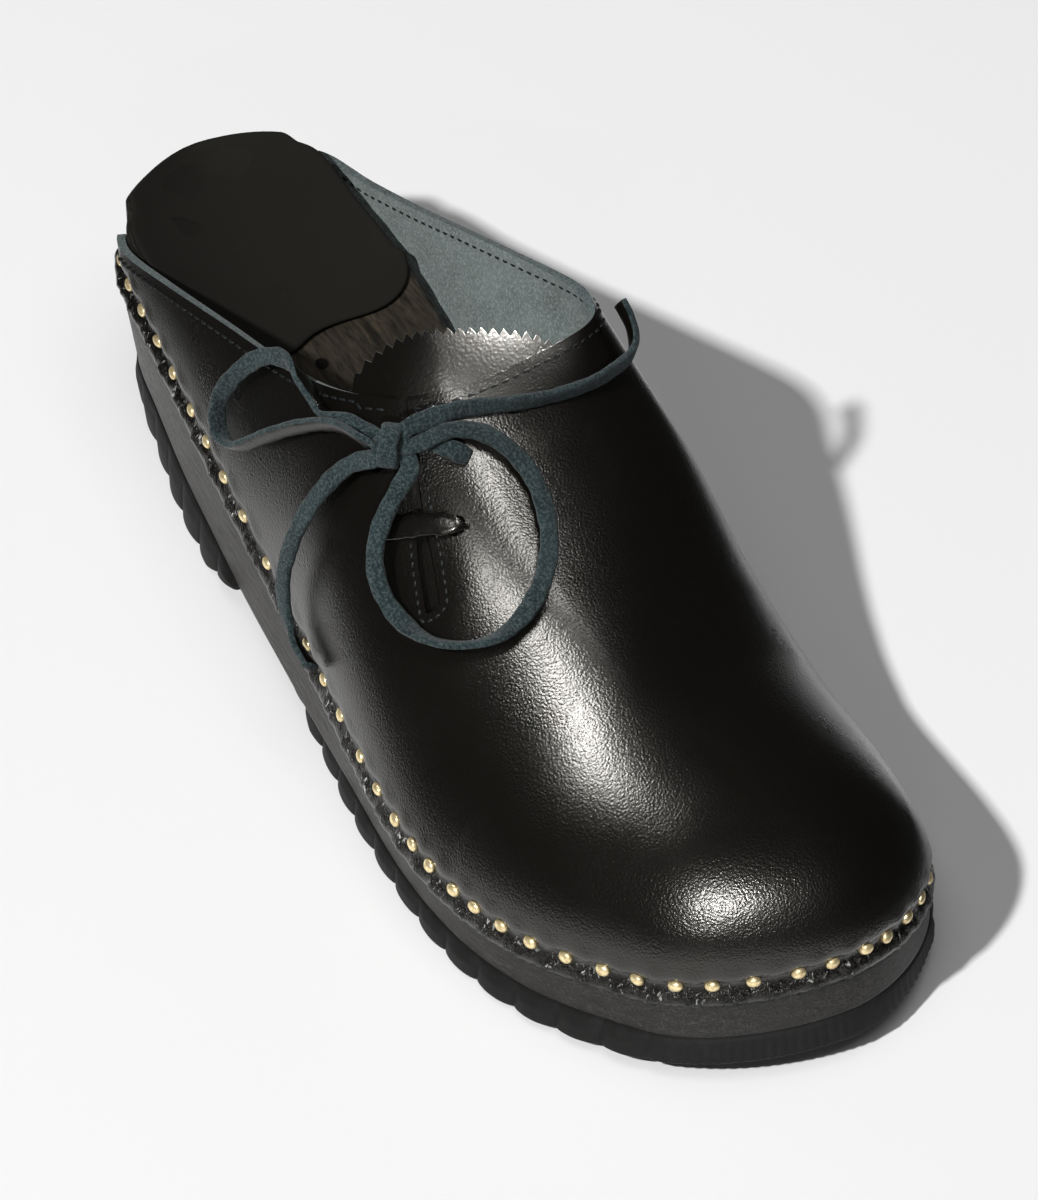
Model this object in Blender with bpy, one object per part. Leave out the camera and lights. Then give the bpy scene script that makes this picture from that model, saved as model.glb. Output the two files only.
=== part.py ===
"""Lace-up clog, the right shoe of a pair.

A leather upper is nailed round the edge of a wooden sole, which stands on a rubber heel piece and a
rubber forefoot piece. A thin sock covers the heel seat, a tongue lies under the slit of the upper and
a flat leather lace is tied in a bow over it.

Frame: +X towards the toe, +Y towards the wearer's left, which is the inner side of this shoe, +Z up.
The treads stand on Z = 0. Tables are in millimetres, with X measured from the back of the heel.
"""

import math

import bmesh
import bpy
import numpy as np

MM = 0.001
ORIGIN_X = 136.4
ORIGIN_Y = 0.8

# Clearances and thicknesses
GAP = 0.3
LEATHER = 2.0
TONGUE_LEATHER = 1.6
SOCK_THICKNESS = 1.2
SOCK_LIFT = 0.7
TONGUE_LIFT = 0.8
LACE_WIDTH = 5.5
LACE_THICKNESS = 1.8
LACE_LIFT = 0.5
CORD_DIAMETER = 3.0
CORD_POINT_EVERY = 2.5
SHARP_ANGLE = math.radians(35)
JOIN_DISTANCE = 2e-6

# The nail line: the outer face of the leather at the height of the nails, as half widths and heights.
EDGE_COLUMNS = ("x", "outer", "inner", "outer_z", "inner_z")
EDGE = (
    (3.0, 14.0, 13.4, 44.6, 44.6),
    (8.0, 22.2, 21.4, 44.5, 44.5),
    (15.0, 28.2, 27.0, 44.2, 44.3),
    (24.0, 31.4, 29.0, 43.4, 44.0),
    (36.0, 33.0, 29.8, 42.2, 43.5),
    (60.0, 35.9, 30.5, 38.5, 40.9),
    (85.0, 38.6, 28.8, 33.3, 36.1),
    (110.0, 41.0, 28.4, 28.2, 28.9),
    (135.0, 44.0, 32.8, 24.3, 22.2),
    (160.0, 47.6, 41.7, 21.4, 18.4),
    (185.0, 50.1, 49.3, 19.9, 17.0),
    (208.0, 48.2, 51.7, 20.2, 17.4),
    (228.0, 41.6, 50.2, 21.5, 19.4),
    (245.0, 31.6, 46.6, 23.6, 22.7),
    (258.0, 19.8, 40.3, 25.6, 25.4),
)
HEEL_BACK = (-0.5, -0.5, 44.6)
TOE_TIP = (269.0, 17.0, 27.3)

# The sole's side: leather edge, rim, flare at the toe, taper at the heel's back, hollow at the inner waist
LEATHER_BELOW_NAILS = 5.0
RIM_ABOVE_NAILS = 6.4
RIM_LEAN = 2.0
RIM_LEAN_FROM_X = (11.0, 38.0)
RIM_ROUND = (0.8, 1.2)
TOE_FLARE = 6.4
TOE_FLARE_INNER_LOSS = 1.1
HEEL_TAPER = 9.0
HEEL_TAPER_POWER = 1.5
WAIST_HOLLOW = 2.6
WAIST_HOLLOW_FROM_X = (12.0, 40.0)
WAIST_HOLLOW_TO_X = (95.0, 140.0)
SIDE_STEPS = (0.0, 0.3, 0.65, 1.0)
REBATE_FROM_X = (7.0, 11.0)

# Along the sole: undersides of wood and treads, depth of the footbed's dish, flare of the outer side
SOLE_COLUMNS = ("x", "wood", "tread", "dish", "outer_flare")
SOLE = (
    (-1.0, 13.5, 0.0, 4.0, -4.2),
    (30.0, 13.5, 0.0, 5.0, -2.6),
    (60.0, 12.6, 0.0, 4.6, 1.2),
    (78.0, 10.8, 0.0, 3.8, 1.8),
    (95.0, 9.0, 8.0, 3.2, 2.6),
    (117.0, 8.0, 7.0, 3.0, 3.2),
    (134.0, 7.6, 0.0, 3.0, 3.0),
    (160.0, 7.2, 0.0, 3.2, 1.0),
    (206.0, 7.2, 0.0, 3.2, 0.0),
    (225.0, 8.0, 0.9, 2.6, 0.0),
    (245.0, 9.9, 2.8, 2.0, 0.0),
    (262.0, 12.2, 5.2, 1.6, 0.0),
    (276.0, 14.0, 7.0, 1.4, 0.0),
)
DISH_FULL_WIDTH = 40.0
BED_COLUMNS = 9
HEEL_TREAD_END_X = 94.0
FOREFOOT_TREAD_START_X = 118.0

# Scalloped lugs along the edge of the treads, which fade out round the toe and the back of the heel
LUG_PITCH = 11.0
LUG_STEPS = 6
LUG_BULGE = 1.3
LUG_FADE = (0.55, 0.85)
LUG_HEIGHT_SHARE = 0.5
TREAD_PROUD = 0.2
TREAD_LEAST = 0.9
FOREFOOT_TUCK = 3.0
FOREFOOT_TUCK_TO_X = (130.0, 165.0)

# The vamp: its ridge, the fullness of its sections and how far each side bulges past a plain arch.
VAMP_COLUMNS = ("x", "ridge_y", "ridge_z", "outer_full", "inner_full", "outer_bulge", "inner_bulge")
VAMP = (
    (14.0, -1.0, 107.0, 2.05, 2.15, -0.8, 0.0),
    (60.0, 0.5, 102.8, 1.88, 2.80, -3.2, 11.0),
    (95.0, 0.3, 98.6, 1.84, 2.90, -3.6, 16.6),
    (120.0, -1.9, 93.6, 1.90, 2.45, -2.0, 19.2),
    (131.0, -3.0, 87.5, 1.93, 2.25, -1.3, 19.8),
    (145.0, -3.9, 78.4, 1.93, 2.10, -1.1, 19.0),
    (160.0, -4.4, 71.6, 1.88, 2.00, -2.0, 14.0),
    (175.0, -4.2, 66.6, 1.80, 1.90, -3.0, 8.0),
    (195.0, -2.4, 61.4, 1.74, 1.78, -3.4, 2.0),
    (215.0, 1.4, 57.6, 1.86, 1.74, -2.0, -2.0),
    (236.0, 8.0, 55.6, 2.00, 1.72, -0.8, -4.0),
)
TOE_FULL = 2.24
TOE_BULGE = -0.4
FAN_START_X = 200.0
FAN_END_X = 234.0

# The topline, as heights on the two sides up to the throat
TOPLINE_COLUMNS = ("x", "outer_z", "inner_z")
TOPLINE = (
    (14.0, 47.0, 47.4),
    (27.0, 52.2, 49.6),
    (39.0, 57.0, 53.2),
    (53.0, 62.0, 57.8),
    (70.0, 67.0, 64.0),
    (91.0, 72.3, 71.4),
    (105.0, 77.4, 76.4),
    (114.0, 81.6, 79.8),
    (125.0, 86.2, 83.6),
    (131.0, 88.0, 88.0),
)
THROAT_X = 131.0
UPPER_ROWS_X = (14.0, 17.0, 21.0, 27.0, 34.0, 42.0, 50.0, 58.0, 66.0, 74.0, 82.0, 90.0, 97.0, 104.0, 110.0,
                115.0, 119.0, 122.5, 125.5, 128.0, 129.8, 131.0, 133.5, 137.0, 142.0, 148.0, 155.0, 163.0,
                171.0, 179.0, 187.0, 194.0, 200.0)
UPPER_COLUMNS = 11
WOOD_ROWS_X = (14.0, 17.0, 21.0, 27.0, 34.0, 42.0, 50.0, 58.0, 66.0, 82.0, 97.0, 110.0, 122.5, 137.0, 148.0,
               163.0, 179.0, 187.0, 194.0, 200.0)
FAN_ROWS = 10

# The slit: its top, its end and its width, and the lace holes beside it, along the slit and across it
SLIT_TOP = (122.0, -13.5)
SLIT_END = (160.5, -27.7)
SLIT_WIDTH = 2.4
HOLE_RADIUS = 2.6
LACE_HOLES = ((12.0, -6.6), (12.0, 6.6), (24.6, -7.0), (29.8, 7.6))
BAR_HOLES = LACE_HOLES[2:]
CUT_HEIGHTS = (45.0, 110.0)
CUT_PAST_TOPLINE = 20.0

# The tongue in the slit's own directions: along it from its top, and across it towards the inner side
TONGUE_ALONG = (-6.6, 49.0)
TONGUE_ACROSS = (-13.0, 37.0)
TONGUE_CORNER = 7.0
TONGUE_TAPER = 6.0

# The sock's back edge as a share of the sole's length, and its front edge from the outer to the inner side
SOCK_START_SHARE = 0.036
SOCK_EDGE = 0.92
SOCK_FRONT_COLUMNS = ("across", "x")
SOCK_FRONT = ((-1.0, 50.0), (-0.72, 59.0), (-0.3, 61.5), (-0.06, 58.5), (0.2, 59.0), (0.6, 61.0), (0.8, 59.0),
              (1.0, 52.0))

# The bow: points chosen by hand along each stretch of the lace, clear of the leather and of each other
KNOT = ((134.0, -25.5, 81.5), (134.6, -21.5, 84.0), (135.4, -17.5, 84.6))
KNOT_DIAMETER = 8.0
OUTER_LOOP = (
    (130.2, -27.3, 83.8), (124.6, -27.6, 81.8), (117.2, -28.8, 77.8), (110.6, -31.2, 72.6),
    (102.8, -34.2, 64.8), (95.4, -37.2, 56.2), (89.6, -38.8, 51.0), (85.0, -39.0, 50.4), (81.8, -38.0, 54.2),
    (81.6, -36.0, 60.2), (84.2, -32.8, 67.4), (88.8, -29.4, 74.0), (93.6, -27.6, 77.2), (99.4, -27.2, 78.6),
    (106.0, -27.6, 78.2), (111.4, -27.4, 76.6),
)
OUTER_END = (
    (133.8, -26.6, 80.8), (128.6, -29.4, 75.8), (125.6, -34.8, 68.4), (124.0, -39.6, 59.2),
    (123.2, -43.2, 48.6), (124.0, -45.2, 38.4), (127.4, -45.9, 31.6), (133.4, -46.6, 29.2),
    (139.4, -47.0, 29.4),
)
INNER_LOOP = (
    (138.0, -17.2, 84.5), (138.4, -11.0, 85.4), (140.8, -5.4, 84.8), (145.4, -0.4, 81.6), (151.2, 2.0, 78.0),
    (158.4, 1.6, 74.8), (166.2, -1.4, 72.0), (173.0, -6.6, 69.6), (177.6, -13.6, 66.4), (178.4, -20.8, 63.0),
    (174.6, -27.6, 60.0), (167.6, -32.8, 57.9), (159.6, -35.2, 58.0), (152.8, -35.8, 60.6),
    (147.0, -34.2, 66.2), (143.8, -30.2, 72.4), (141.8, -24.8, 78.0), (140.6, -21.4, 80.6),
)
INNER_END = (
    (134.4, -16.7, 86.9), (135.6, -7.4, 87.4), (137.6, 0.8, 86.4), (139.0, 9.4, 84.4), (139.4, 18.6, 82.6),
    (138.2, 27.6, 80.6), (135.2, 35.4, 78.6), (131.6, 41.0, 77.6), (127.4, 43.2, 79.2), (121.6, 43.6, 82.0),
)

# Materials: base colour, roughness, metallic
FINISHES = {
    "leather": ((0.012, 0.012, 0.013), 0.32, 0.0),
    "stained_wood": ((0.020, 0.017, 0.015), 0.55, 0.0),
    "rubber": ((0.010, 0.010, 0.010), 0.70, 0.0),
    "sock_leather": ((0.014, 0.014, 0.015), 0.60, 0.0),
    "lace_suede": ((0.055, 0.090, 0.100), 0.85, 0.0),
}


def columns(table, names):
    """A table's columns by name."""
    return dict(zip(names, np.array(table, float).T))


def natural_spline(knots, values, at):
    """A natural cubic spline through values at the knots, read at the given places."""
    knots = np.asarray(knots, float)
    values = np.asarray(values, float)
    at = np.asarray(at, float)
    count = len(knots)
    step = np.diff(knots)
    system = np.eye(count)
    right = np.zeros_like(values)
    for i in range(1, count - 1):
        system[i, i - 1:i + 2] = step[i - 1], 2 * (step[i - 1] + step[i]), step[i]
        right[i] = 6 * ((values[i + 1] - values[i]) / step[i] - (values[i] - values[i - 1]) / step[i - 1])
    bend = np.linalg.solve(system, right)
    cell = np.clip(np.searchsorted(knots, at, side="right") - 1, 0, count - 2)
    wide = step[cell]
    below = (knots[cell + 1] - at) / wide
    above = 1 - below
    if values.ndim > 1:
        wide, below, above = wide[..., None], below[..., None], above[..., None]
    curve = (below ** 3 - below) * bend[cell] + (above ** 3 - above) * bend[cell + 1]
    return below * values[cell] + above * values[cell + 1] + curve * wide ** 2 / 6


def smooth_step(low, high, value):
    """0 below low, 1 above high and a smooth rise between."""
    t = np.clip((np.asarray(value, float) - low) / (high - low), 0, 1)
    return t * t * (3 - 2 * t)


def profile(table, names, column, x):
    """One column of a table along X, smooth between its rows and held beyond its ends."""
    data = columns(table, names)
    return natural_spline(data["x"], data[column], np.clip(x, data["x"][0], data["x"][-1]))


class EdgeSide:
    """The nail line on one side, from the back of the heel to the toe tip, read by arc length."""

    def __init__(self, line, out):
        self.line = line
        self.out = out
        walk = np.linalg.norm(np.diff(line[:, :2], axis=0), axis=1)
        self.length = walk.sum()
        self.fraction = np.concatenate([[0], np.cumsum(walk)]) / self.length

    def point(self, share):
        """Points on the nail line at shares of its length."""
        return np.column_stack([np.interp(share, self.fraction, self.line[:, i]) for i in range(3)])

    def normal(self, share):
        """The plan direction out of the shoe at shares of the length."""
        out = np.column_stack([np.interp(share, self.fraction, self.out[:, i]) for i in range(2)])
        return out / np.linalg.norm(out, axis=1)[:, None]

    def share_at(self, x):
        """The share of the length at which the side reaches a given X."""
        return np.interp(x, self.line[:, 0], self.fraction)


def edge_sides(samples=500):
    """The two sides of the nail line, one smooth closed curve round heel and toe."""
    table = columns(EDGE, EDGE_COLUMNS)
    outer = np.column_stack([table["x"], -table["outer"], table["outer_z"]])
    inner = np.column_stack([table["x"], table["inner"], table["inner_z"]])
    ring = np.vstack([HEEL_BACK, outer, TOE_TIP, inner[::-1]])
    wrap = 10
    points = np.vstack([ring[-wrap:], ring, ring[:wrap + 1]])
    hop = np.sqrt(np.linalg.norm(np.diff(points[:, :2], axis=0), axis=1))
    knots = np.concatenate([[0], np.cumsum(hop)])
    heel, toe, heel_again = knots[wrap], knots[wrap + 1 + len(outer)], knots[wrap + len(ring)]
    sides = []
    for start in (heel, heel_again):
        place = np.linspace(start, toe, samples)
        ahead = natural_spline(knots, points, place + 0.01)
        behind = natural_spline(knots, points, place - 0.01)
        out = np.column_stack([ahead[:, 1] - behind[:, 1], behind[:, 0] - ahead[:, 0]])
        out /= np.linalg.norm(out, axis=1)[:, None]
        sides.append(EdgeSide(natural_spline(knots, points, place), out))
    return sides


OUTER, INNER = edge_sides()


def side_offset(base, out, z):
    """How far the sole's side stands off the nail line at height z: flares, heel taper and waist hollow."""
    top = base[:, 2] - LEATHER_BELOW_NAILS
    down = np.clip((top - z) / top, 0, 1)
    inner = np.clip(out[:, 1], 0, 1)
    outer = np.clip(-out[:, 1], 0, 1)
    flare = TOE_FLARE * np.clip(out[:, 0], 0, 1) * np.clip(1 - TOE_FLARE_INNER_LOSS * inner, 0, 1)
    flare += profile(SOLE, SOLE_COLUMNS, "outer_flare", base[:, 0]) * outer ** 2
    taper = HEEL_TAPER * np.clip(-out[:, 0], 0, 1) ** HEEL_TAPER_POWER
    hollow = WAIST_HOLLOW * inner * smooth_step(*WAIST_HOLLOW_FROM_X, base[:, 0])
    hollow *= 1 - smooth_step(*WAIST_HOLLOW_TO_X, base[:, 0])
    return down * (flare - taper) - hollow * np.sin(math.pi * down)


def shifted(base, out, offset, z):
    """Points moved out of the nail line by an offset and set to a height."""
    return np.column_stack([base[:, :2] + out * np.broadcast_to(offset, len(base))[:, None],
                            np.broadcast_to(z, len(base))])


def make_material(name):
    """A plain surface with the part's colour and gloss."""
    colour, roughness, metallic = FINISHES[name]
    material = bpy.data.materials.new(name)
    material.use_nodes = True
    shader = material.node_tree.nodes["Principled BSDF"]
    shader.inputs["Base Color"].default_value = (*colour, 1.0)
    shader.inputs["Roughness"].default_value = roughness
    shader.inputs["Metallic"].default_value = metallic
    return material


def to_frame(points):
    """Table millimetres to metres in the part's frame."""
    return (np.asarray(points, float) - (ORIGIN_X, ORIGIN_Y, 0.0)) * MM


def add_object(name, data, material):
    """Link a mesh or curve as a named object with its material."""
    data.materials.append(material)
    made = bpy.data.objects.new(name, data)
    bpy.context.scene.collection.objects.link(made)
    return made


def mesh_from(name, points, faces):
    """A mesh from points in table millimetres and faces, with doubled points joined."""
    mesh = bpy.data.meshes.new(name)
    mesh.from_pydata(to_frame(points).tolist(), [], faces)
    work = bmesh.new()
    work.from_mesh(mesh)
    bmesh.ops.remove_doubles(work, verts=work.verts, dist=JOIN_DISTANCE)
    bmesh.ops.dissolve_degenerate(work, edges=work.edges, dist=JOIN_DISTANCE)
    work.to_mesh(mesh)
    work.free()
    return mesh


def loft(name, sections, material):
    """A closed body of triangles through closed sections, with a cap on each end that isn't pointed."""
    rows, count, _ = sections.shape
    faces = []
    for row in range(rows - 1):
        for i in range(count):
            j = (i + 1) % count
            faces.append((row * count + i, row * count + j, (row + 1) * count + j, (row + 1) * count + i))
    for row in (0, rows - 1):
        if np.ptp(sections[row, :, 1]) > 0.5:
            faces.append([row * count + i for i in range(count)])
    mesh = mesh_from(name, sections.reshape(-1, 3), faces)
    work = bmesh.new()
    work.from_mesh(mesh)
    bmesh.ops.triangulate(work, faces=work.faces)
    bmesh.ops.recalc_face_normals(work, faces=work.faces)
    work.to_mesh(mesh)
    work.free()
    mesh.shade_smooth()
    mesh.set_sharp_from_angle(angle=SHARP_ANGLE)
    return add_object(name, mesh, material)


def spread(outer_points, inner_points, places, sag):
    """Points across from the outer to the inner side at places from -1 to 1, sagging in the middle."""
    rows = []
    for place in places:
        share = (place + 1) / 2
        across = outer_points * (1 - share) + inner_points * share
        across[:, 2] -= sag * (1 - place ** 2)
        rows.append(across)
    return rows


def rebate_depth(base):
    """How deep the leather is let into the wood: not at all round the back of the heel."""
    return (LEATHER + GAP) * smooth_step(*REBATE_FROM_X, base[:, 0])


def rim_points(side, share):
    """The footbed's edge on one side, inset from the nail line."""
    base, out = side.point(share), side.normal(share)
    inset = rebate_depth(base) + RIM_LEAN * smooth_step(*RIM_LEAN_FROM_X, base[:, 0]) + RIM_ROUND[0]
    return shifted(base, out, -inset, base[:, 2] + RIM_ABOVE_NAILS)


def footbed(outer_share, inner_share, places):
    """Points on the footbed at shares along the two sides and places across, from outer to inner side."""
    outer_rim, inner_rim = rim_points(OUTER, outer_share), rim_points(INNER, inner_share)
    middle_x = (outer_rim[:, 0] + inner_rim[:, 0]) / 2
    width = np.abs(inner_rim[:, 1] - outer_rim[:, 1])
    sag = profile(SOLE, SOLE_COLUMNS, "dish", middle_x) * np.clip(width / DISH_FULL_WIDTH, 0, 1)
    return spread(outer_rim, inner_rim, places, sag)


def wood_side(side, share):
    """The wooden sole's side from its underside up to the footbed's rim, as rows of points."""
    base, out = side.point(share), side.normal(share)
    ledge = base[:, 2] - LEATHER_BELOW_NAILS - GAP
    under = profile(SOLE, SOLE_COLUMNS, "wood", base[:, 0])
    rim = rim_points(side, share)
    rows = []
    for step in SIDE_STEPS:
        z = under + (ledge - under) * step
        rows.append(shifted(base, out, side_offset(base, out, z), z))
    rows.append(shifted(base, out, -rebate_depth(base), ledge))
    rows.append(rim + np.column_stack([out * RIM_ROUND[0], np.full(len(base), -RIM_ROUND[1])]))
    rows.append(rim)
    return rows


def fan_shares(side):
    """Shares of a side's length for the rows that fan round the toe."""
    start = side.share_at(FAN_START_X)
    return start + (1 - start) * np.arange(1, FAN_ROWS + 1) / FAN_ROWS


def wood_shares(side):
    """Shares of a side's length for the rows of the wooden sole, in step with the upper round the toe."""
    heel = np.linspace(0, side.share_at(WOOD_ROWS_X[0]), 7)[:-1]
    return np.concatenate([heel, side.share_at(WOOD_ROWS_X), fan_shares(side)])


def build_wood_sole(material):
    """The wooden sole with its footbed, heel, waist and toe spring."""
    outer_share, inner_share = (wood_shares(side) for side in (OUTER, INNER))
    outer_rows = wood_side(OUTER, outer_share)
    inner_rows = wood_side(INNER, inner_share)
    bed = footbed(outer_share, inner_share, np.linspace(-1, 1, BED_COLUMNS)[1:-1])
    loop = outer_rows + bed + inner_rows[::-1]
    return loft("wood_sole", np.stack(loop, axis=1), material)


def tread_sections(start_x, end_x, tuck):
    """Sections of a tread between two places along the sole, with scalloped sides tucked in at its back."""
    sole = columns(SOLE, SOLE_COLUMNS)
    first = {side: side.share_at(start_x) if start_x > side.line[0, 0] else 0.0 for side in (OUTER, INNER)}
    pitches = max(1, round((OUTER.share_at(end_x) - first[OUTER]) * OUTER.length / LUG_PITCH))
    run = np.arange(pitches * LUG_STEPS + 1) / LUG_STEPS
    swell = LUG_BULGE * np.sqrt(np.clip(np.sin(math.pi * (run % 1)), 0, 1))
    rows = []
    for side in (OUTER, INNER):
        share = first[side] + (side.share_at(end_x) - first[side]) * run / pitches
        base, out = side.point(share), side.normal(share)
        bulge = swell * (1 - smooth_step(*LUG_FADE, np.abs(out[:, 0]))) + TREAD_PROUD
        bulge -= tuck * (1 - smooth_step(*FOREFOOT_TUCK_TO_X, base[:, 0]))
        top = profile(SOLE, SOLE_COLUMNS, "wood", base[:, 0]) - GAP
        foot = np.minimum(np.interp(base[:, 0], sole["x"], sole["tread"]), top - TREAD_LEAST)
        middle = foot + LUG_HEIGHT_SHARE * (top - foot)
        rows.append([shifted(base, out, side_offset(base, out, foot) + bulge, foot),
                     shifted(base, out, side_offset(base, out, middle) + bulge, middle),
                     shifted(base, out, side_offset(base, out, top) + np.minimum(bulge, TREAD_PROUD), top)])
    return np.stack(rows[0] + rows[1][::-1], axis=1)


def build_treads(material):
    """The heel tread and the forefoot tread."""
    loft("outsole_heel", tread_sections(HEEL_BACK[0], HEEL_TREAD_END_X, 0.0), material)
    loft("outsole_forefoot", tread_sections(FOREFOOT_TREAD_START_X, TOE_TIP[0], FOREFOOT_TUCK), material)


def build_sock(material):
    """The sock on the heel seat, with its scalloped front edge."""
    front = columns(SOCK_FRONT, SOCK_FRONT_COLUMNS)
    places = np.linspace(-SOCK_EDGE, SOCK_EDGE, 17)
    end_x = natural_spline(front["across"], front["x"], places)
    share_end = (OUTER.share_at(end_x) + INNER.share_at(end_x)) / 2
    rows = []
    for step in np.linspace(0, 1, 15):
        shares = SOCK_START_SHARE + (share_end - SOCK_START_SHARE) * step
        rows.append([footbed(np.array([share]), np.array([share]), [place])[0][0]
                     for share, place in zip(shares, places)])
    sheet = np.stack(rows)
    lower = sheet + (0, 0, SOCK_LIFT)
    upper = sheet + (0, 0, SOCK_LIFT + SOCK_THICKNESS)
    sections = np.concatenate([lower, upper[:, ::-1]], axis=1)
    return loft("heel_sock", sections, material)


def spine_x(base_x):
    """Where a section that starts at base_x meets the ridge: sections fan out round the toe."""
    reach = FAN_END_X - FAN_START_X
    past = np.clip(np.asarray(base_x, float) - FAN_START_X, 0, None)
    return np.where(base_x < FAN_START_X, base_x, FAN_START_X + reach * (1 - np.exp(-past / reach)))


def arch(base, ridge, full, bulge, lift):
    """Points on a section of the upper, from the nail line at lift 0 to the ridge at a quarter turn."""
    power = 2 / full
    inward = ridge[..., :2] - base[..., :2]
    span = np.linalg.norm(inward, axis=-1, keepdims=True)
    plan = base[..., :2] + inward * (1 - np.clip(np.cos(lift), 0, 1) ** power)[..., None]
    plan = plan - inward / span * (bulge * np.sin(2 * lift))[..., None]
    height = base[..., 2] + (ridge[..., 2] - base[..., 2]) * np.sin(lift) ** power
    return np.concatenate([plan, height[..., None]], axis=-1)


def vamp(column, x):
    """One column of the vamp's table along X."""
    return profile(VAMP, VAMP_COLUMNS, column, x)


def half_sections(side, share, ridge_x, toe_weight):
    """Base points, ridge points, fullness and bulge of the sections on one side."""
    name = "outer" if side is OUTER else "inner"
    base = side.point(share)
    ridge = np.column_stack([ridge_x, vamp("ridge_y", ridge_x), vamp("ridge_z", ridge_x)])
    full = vamp(name + "_full", ridge_x) * (1 - toe_weight) + TOE_FULL * toe_weight
    bulge = vamp(name + "_bulge", ridge_x) * (1 - toe_weight) + TOE_BULGE * toe_weight
    return base, ridge, full, bulge


def upper_rows():
    """Shares of length, ridge places and toe weights of the upper's rows, from the tails to the toe tip."""
    shares = [np.concatenate([side.share_at(UPPER_ROWS_X), fan_shares(side)]) for side in (OUTER, INNER)]
    reach_x = (OUTER.point(shares[0])[:, 0] + INNER.point(shares[1])[:, 0]) / 2
    fan = np.arange(1, FAN_ROWS + 1) / FAN_ROWS
    toe_weight = np.concatenate([np.zeros(len(UPPER_ROWS_X)), 1 - (1 - fan) ** 2])
    return shares, spine_x(reach_x), toe_weight


def topline_lift(side, base, ridge, full):
    """How far up each section the leather goes: to the topline, or to the ridge in front of the throat."""
    name = "outer_z" if side is OUTER else "inner_z"
    height = profile(TOPLINE, TOPLINE_COLUMNS, name, ridge[:, 0])
    share = np.clip((height - base[:, 2]) / (ridge[:, 2] - base[:, 2]), 0, 1)
    lift = np.arcsin(share ** (full / 2))
    return np.where(ridge[:, 0] >= THROAT_X - 0.01, math.pi / 2, lift)


def upper_half(side, share, ridge_x, toe_weight):
    """Rows of points on one half of the upper's outer face, from its lower edge to topline or ridge."""
    base, ridge, full, bulge = half_sections(side, share, ridge_x, toe_weight)
    lift = topline_lift(side, base, ridge, full)
    steps = np.linspace(0, 1, UPPER_COLUMNS)
    spread_out = [np.repeat(value[:, None], UPPER_COLUMNS, axis=1) for value in (base, ridge, full, bulge)]
    grid = arch(*spread_out, lift[:, None] * steps)
    lower = base - (0, 0, LEATHER_BELOW_NAILS)
    return np.concatenate([lower[:, None], grid], axis=1)


def build_upper(material, cutter):
    """The upper: one leather shell, open at collar, heel and underneath, with its slit and lace holes."""
    shares, ridge_x, toe_weight = upper_rows()
    outer = upper_half(OUTER, shares[0], ridge_x, toe_weight)
    inner = upper_half(INNER, shares[1], ridge_x, toe_weight)
    rows, count, _ = outer.shape
    points = np.concatenate([outer.reshape(-1, 3), inner.reshape(-1, 3)])
    faces = []
    for row in range(rows - 1):
        for i in range(count - 1):
            a = row * count + i
            b = a + count
            faces.append((a, b, b + 1, a + 1))
            a += rows * count
            b += rows * count
            faces.append((a, a + 1, b + 1, b))
    mesh = mesh_from("upper", points, faces)
    mesh.shade_smooth()
    upper = add_object("upper", mesh, material)
    wall = upper.modifiers.new("wall", "SOLIDIFY")
    wall.thickness = LEATHER * MM
    wall.offset = -1.0
    wall.use_even_offset = True
    cut = upper.modifiers.new("slit and lace holes", "BOOLEAN")
    cut.operation = "DIFFERENCE"
    cut.solver = "EXACT"
    cut.object = cutter
    return upper


def slit_directions():
    """The slit's top, its direction in plan and the direction across it towards the inner side."""
    top, end = np.array(SLIT_TOP), np.array(SLIT_END)
    along = (end - top) / np.linalg.norm(end - top)
    return top, along, np.array([-along[1], along[0]])


def prism(outline, low, high):
    """Points and faces of an upright prism over a plan outline."""
    count = len(outline)
    floor = np.column_stack([outline, np.full(count, low)])
    roof = np.column_stack([outline, np.full(count, high)])
    faces = [tuple(range(count - 1, -1, -1)), tuple(range(count, 2 * count))]
    faces += [(i, (i + 1) % count, count + (i + 1) % count, count + i) for i in range(count)]
    return np.concatenate([floor, roof]), faces


def build_cutter():
    """The slit with its round end and the four lace holes, as upright prisms."""
    top, along, across = slit_directions()
    half = SLIT_WIDTH / 2
    turn = np.linspace(math.pi / 2, -math.pi / 2, 9)
    end = np.array(SLIT_END)
    slit = [top - along * CUT_PAST_TOPLINE + across * half]
    slit += [end + along * half * math.cos(t) + across * half * math.sin(t) for t in turn]
    slit += [top - along * CUT_PAST_TOPLINE - across * half]
    outlines = [np.array(slit)[::-1]]
    circle = np.linspace(0, 2 * math.pi, 12, endpoint=False)
    ring = HOLE_RADIUS * np.column_stack([np.cos(circle), np.sin(circle)])
    outlines += [top + along * run + across * place + ring for run, place in LACE_HOLES]
    points, faces = [], []
    for outline in outlines:
        new_points, new_faces = prism(outline, *CUT_HEIGHTS)
        faces += [tuple(i + sum(map(len, points)) for i in face) for face in new_faces]
        points.append(new_points)
    mesh = bpy.data.meshes.new("slit_cutter")
    mesh.from_pydata(to_frame(np.concatenate(points)).tolist(), [], faces)
    cutter = bpy.data.objects.new("slit_cutter", mesh)
    bpy.context.scene.collection.objects.link(cutter)
    cutter.hide_render = True
    cutter.display_type = "WIRE"
    return cutter


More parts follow.
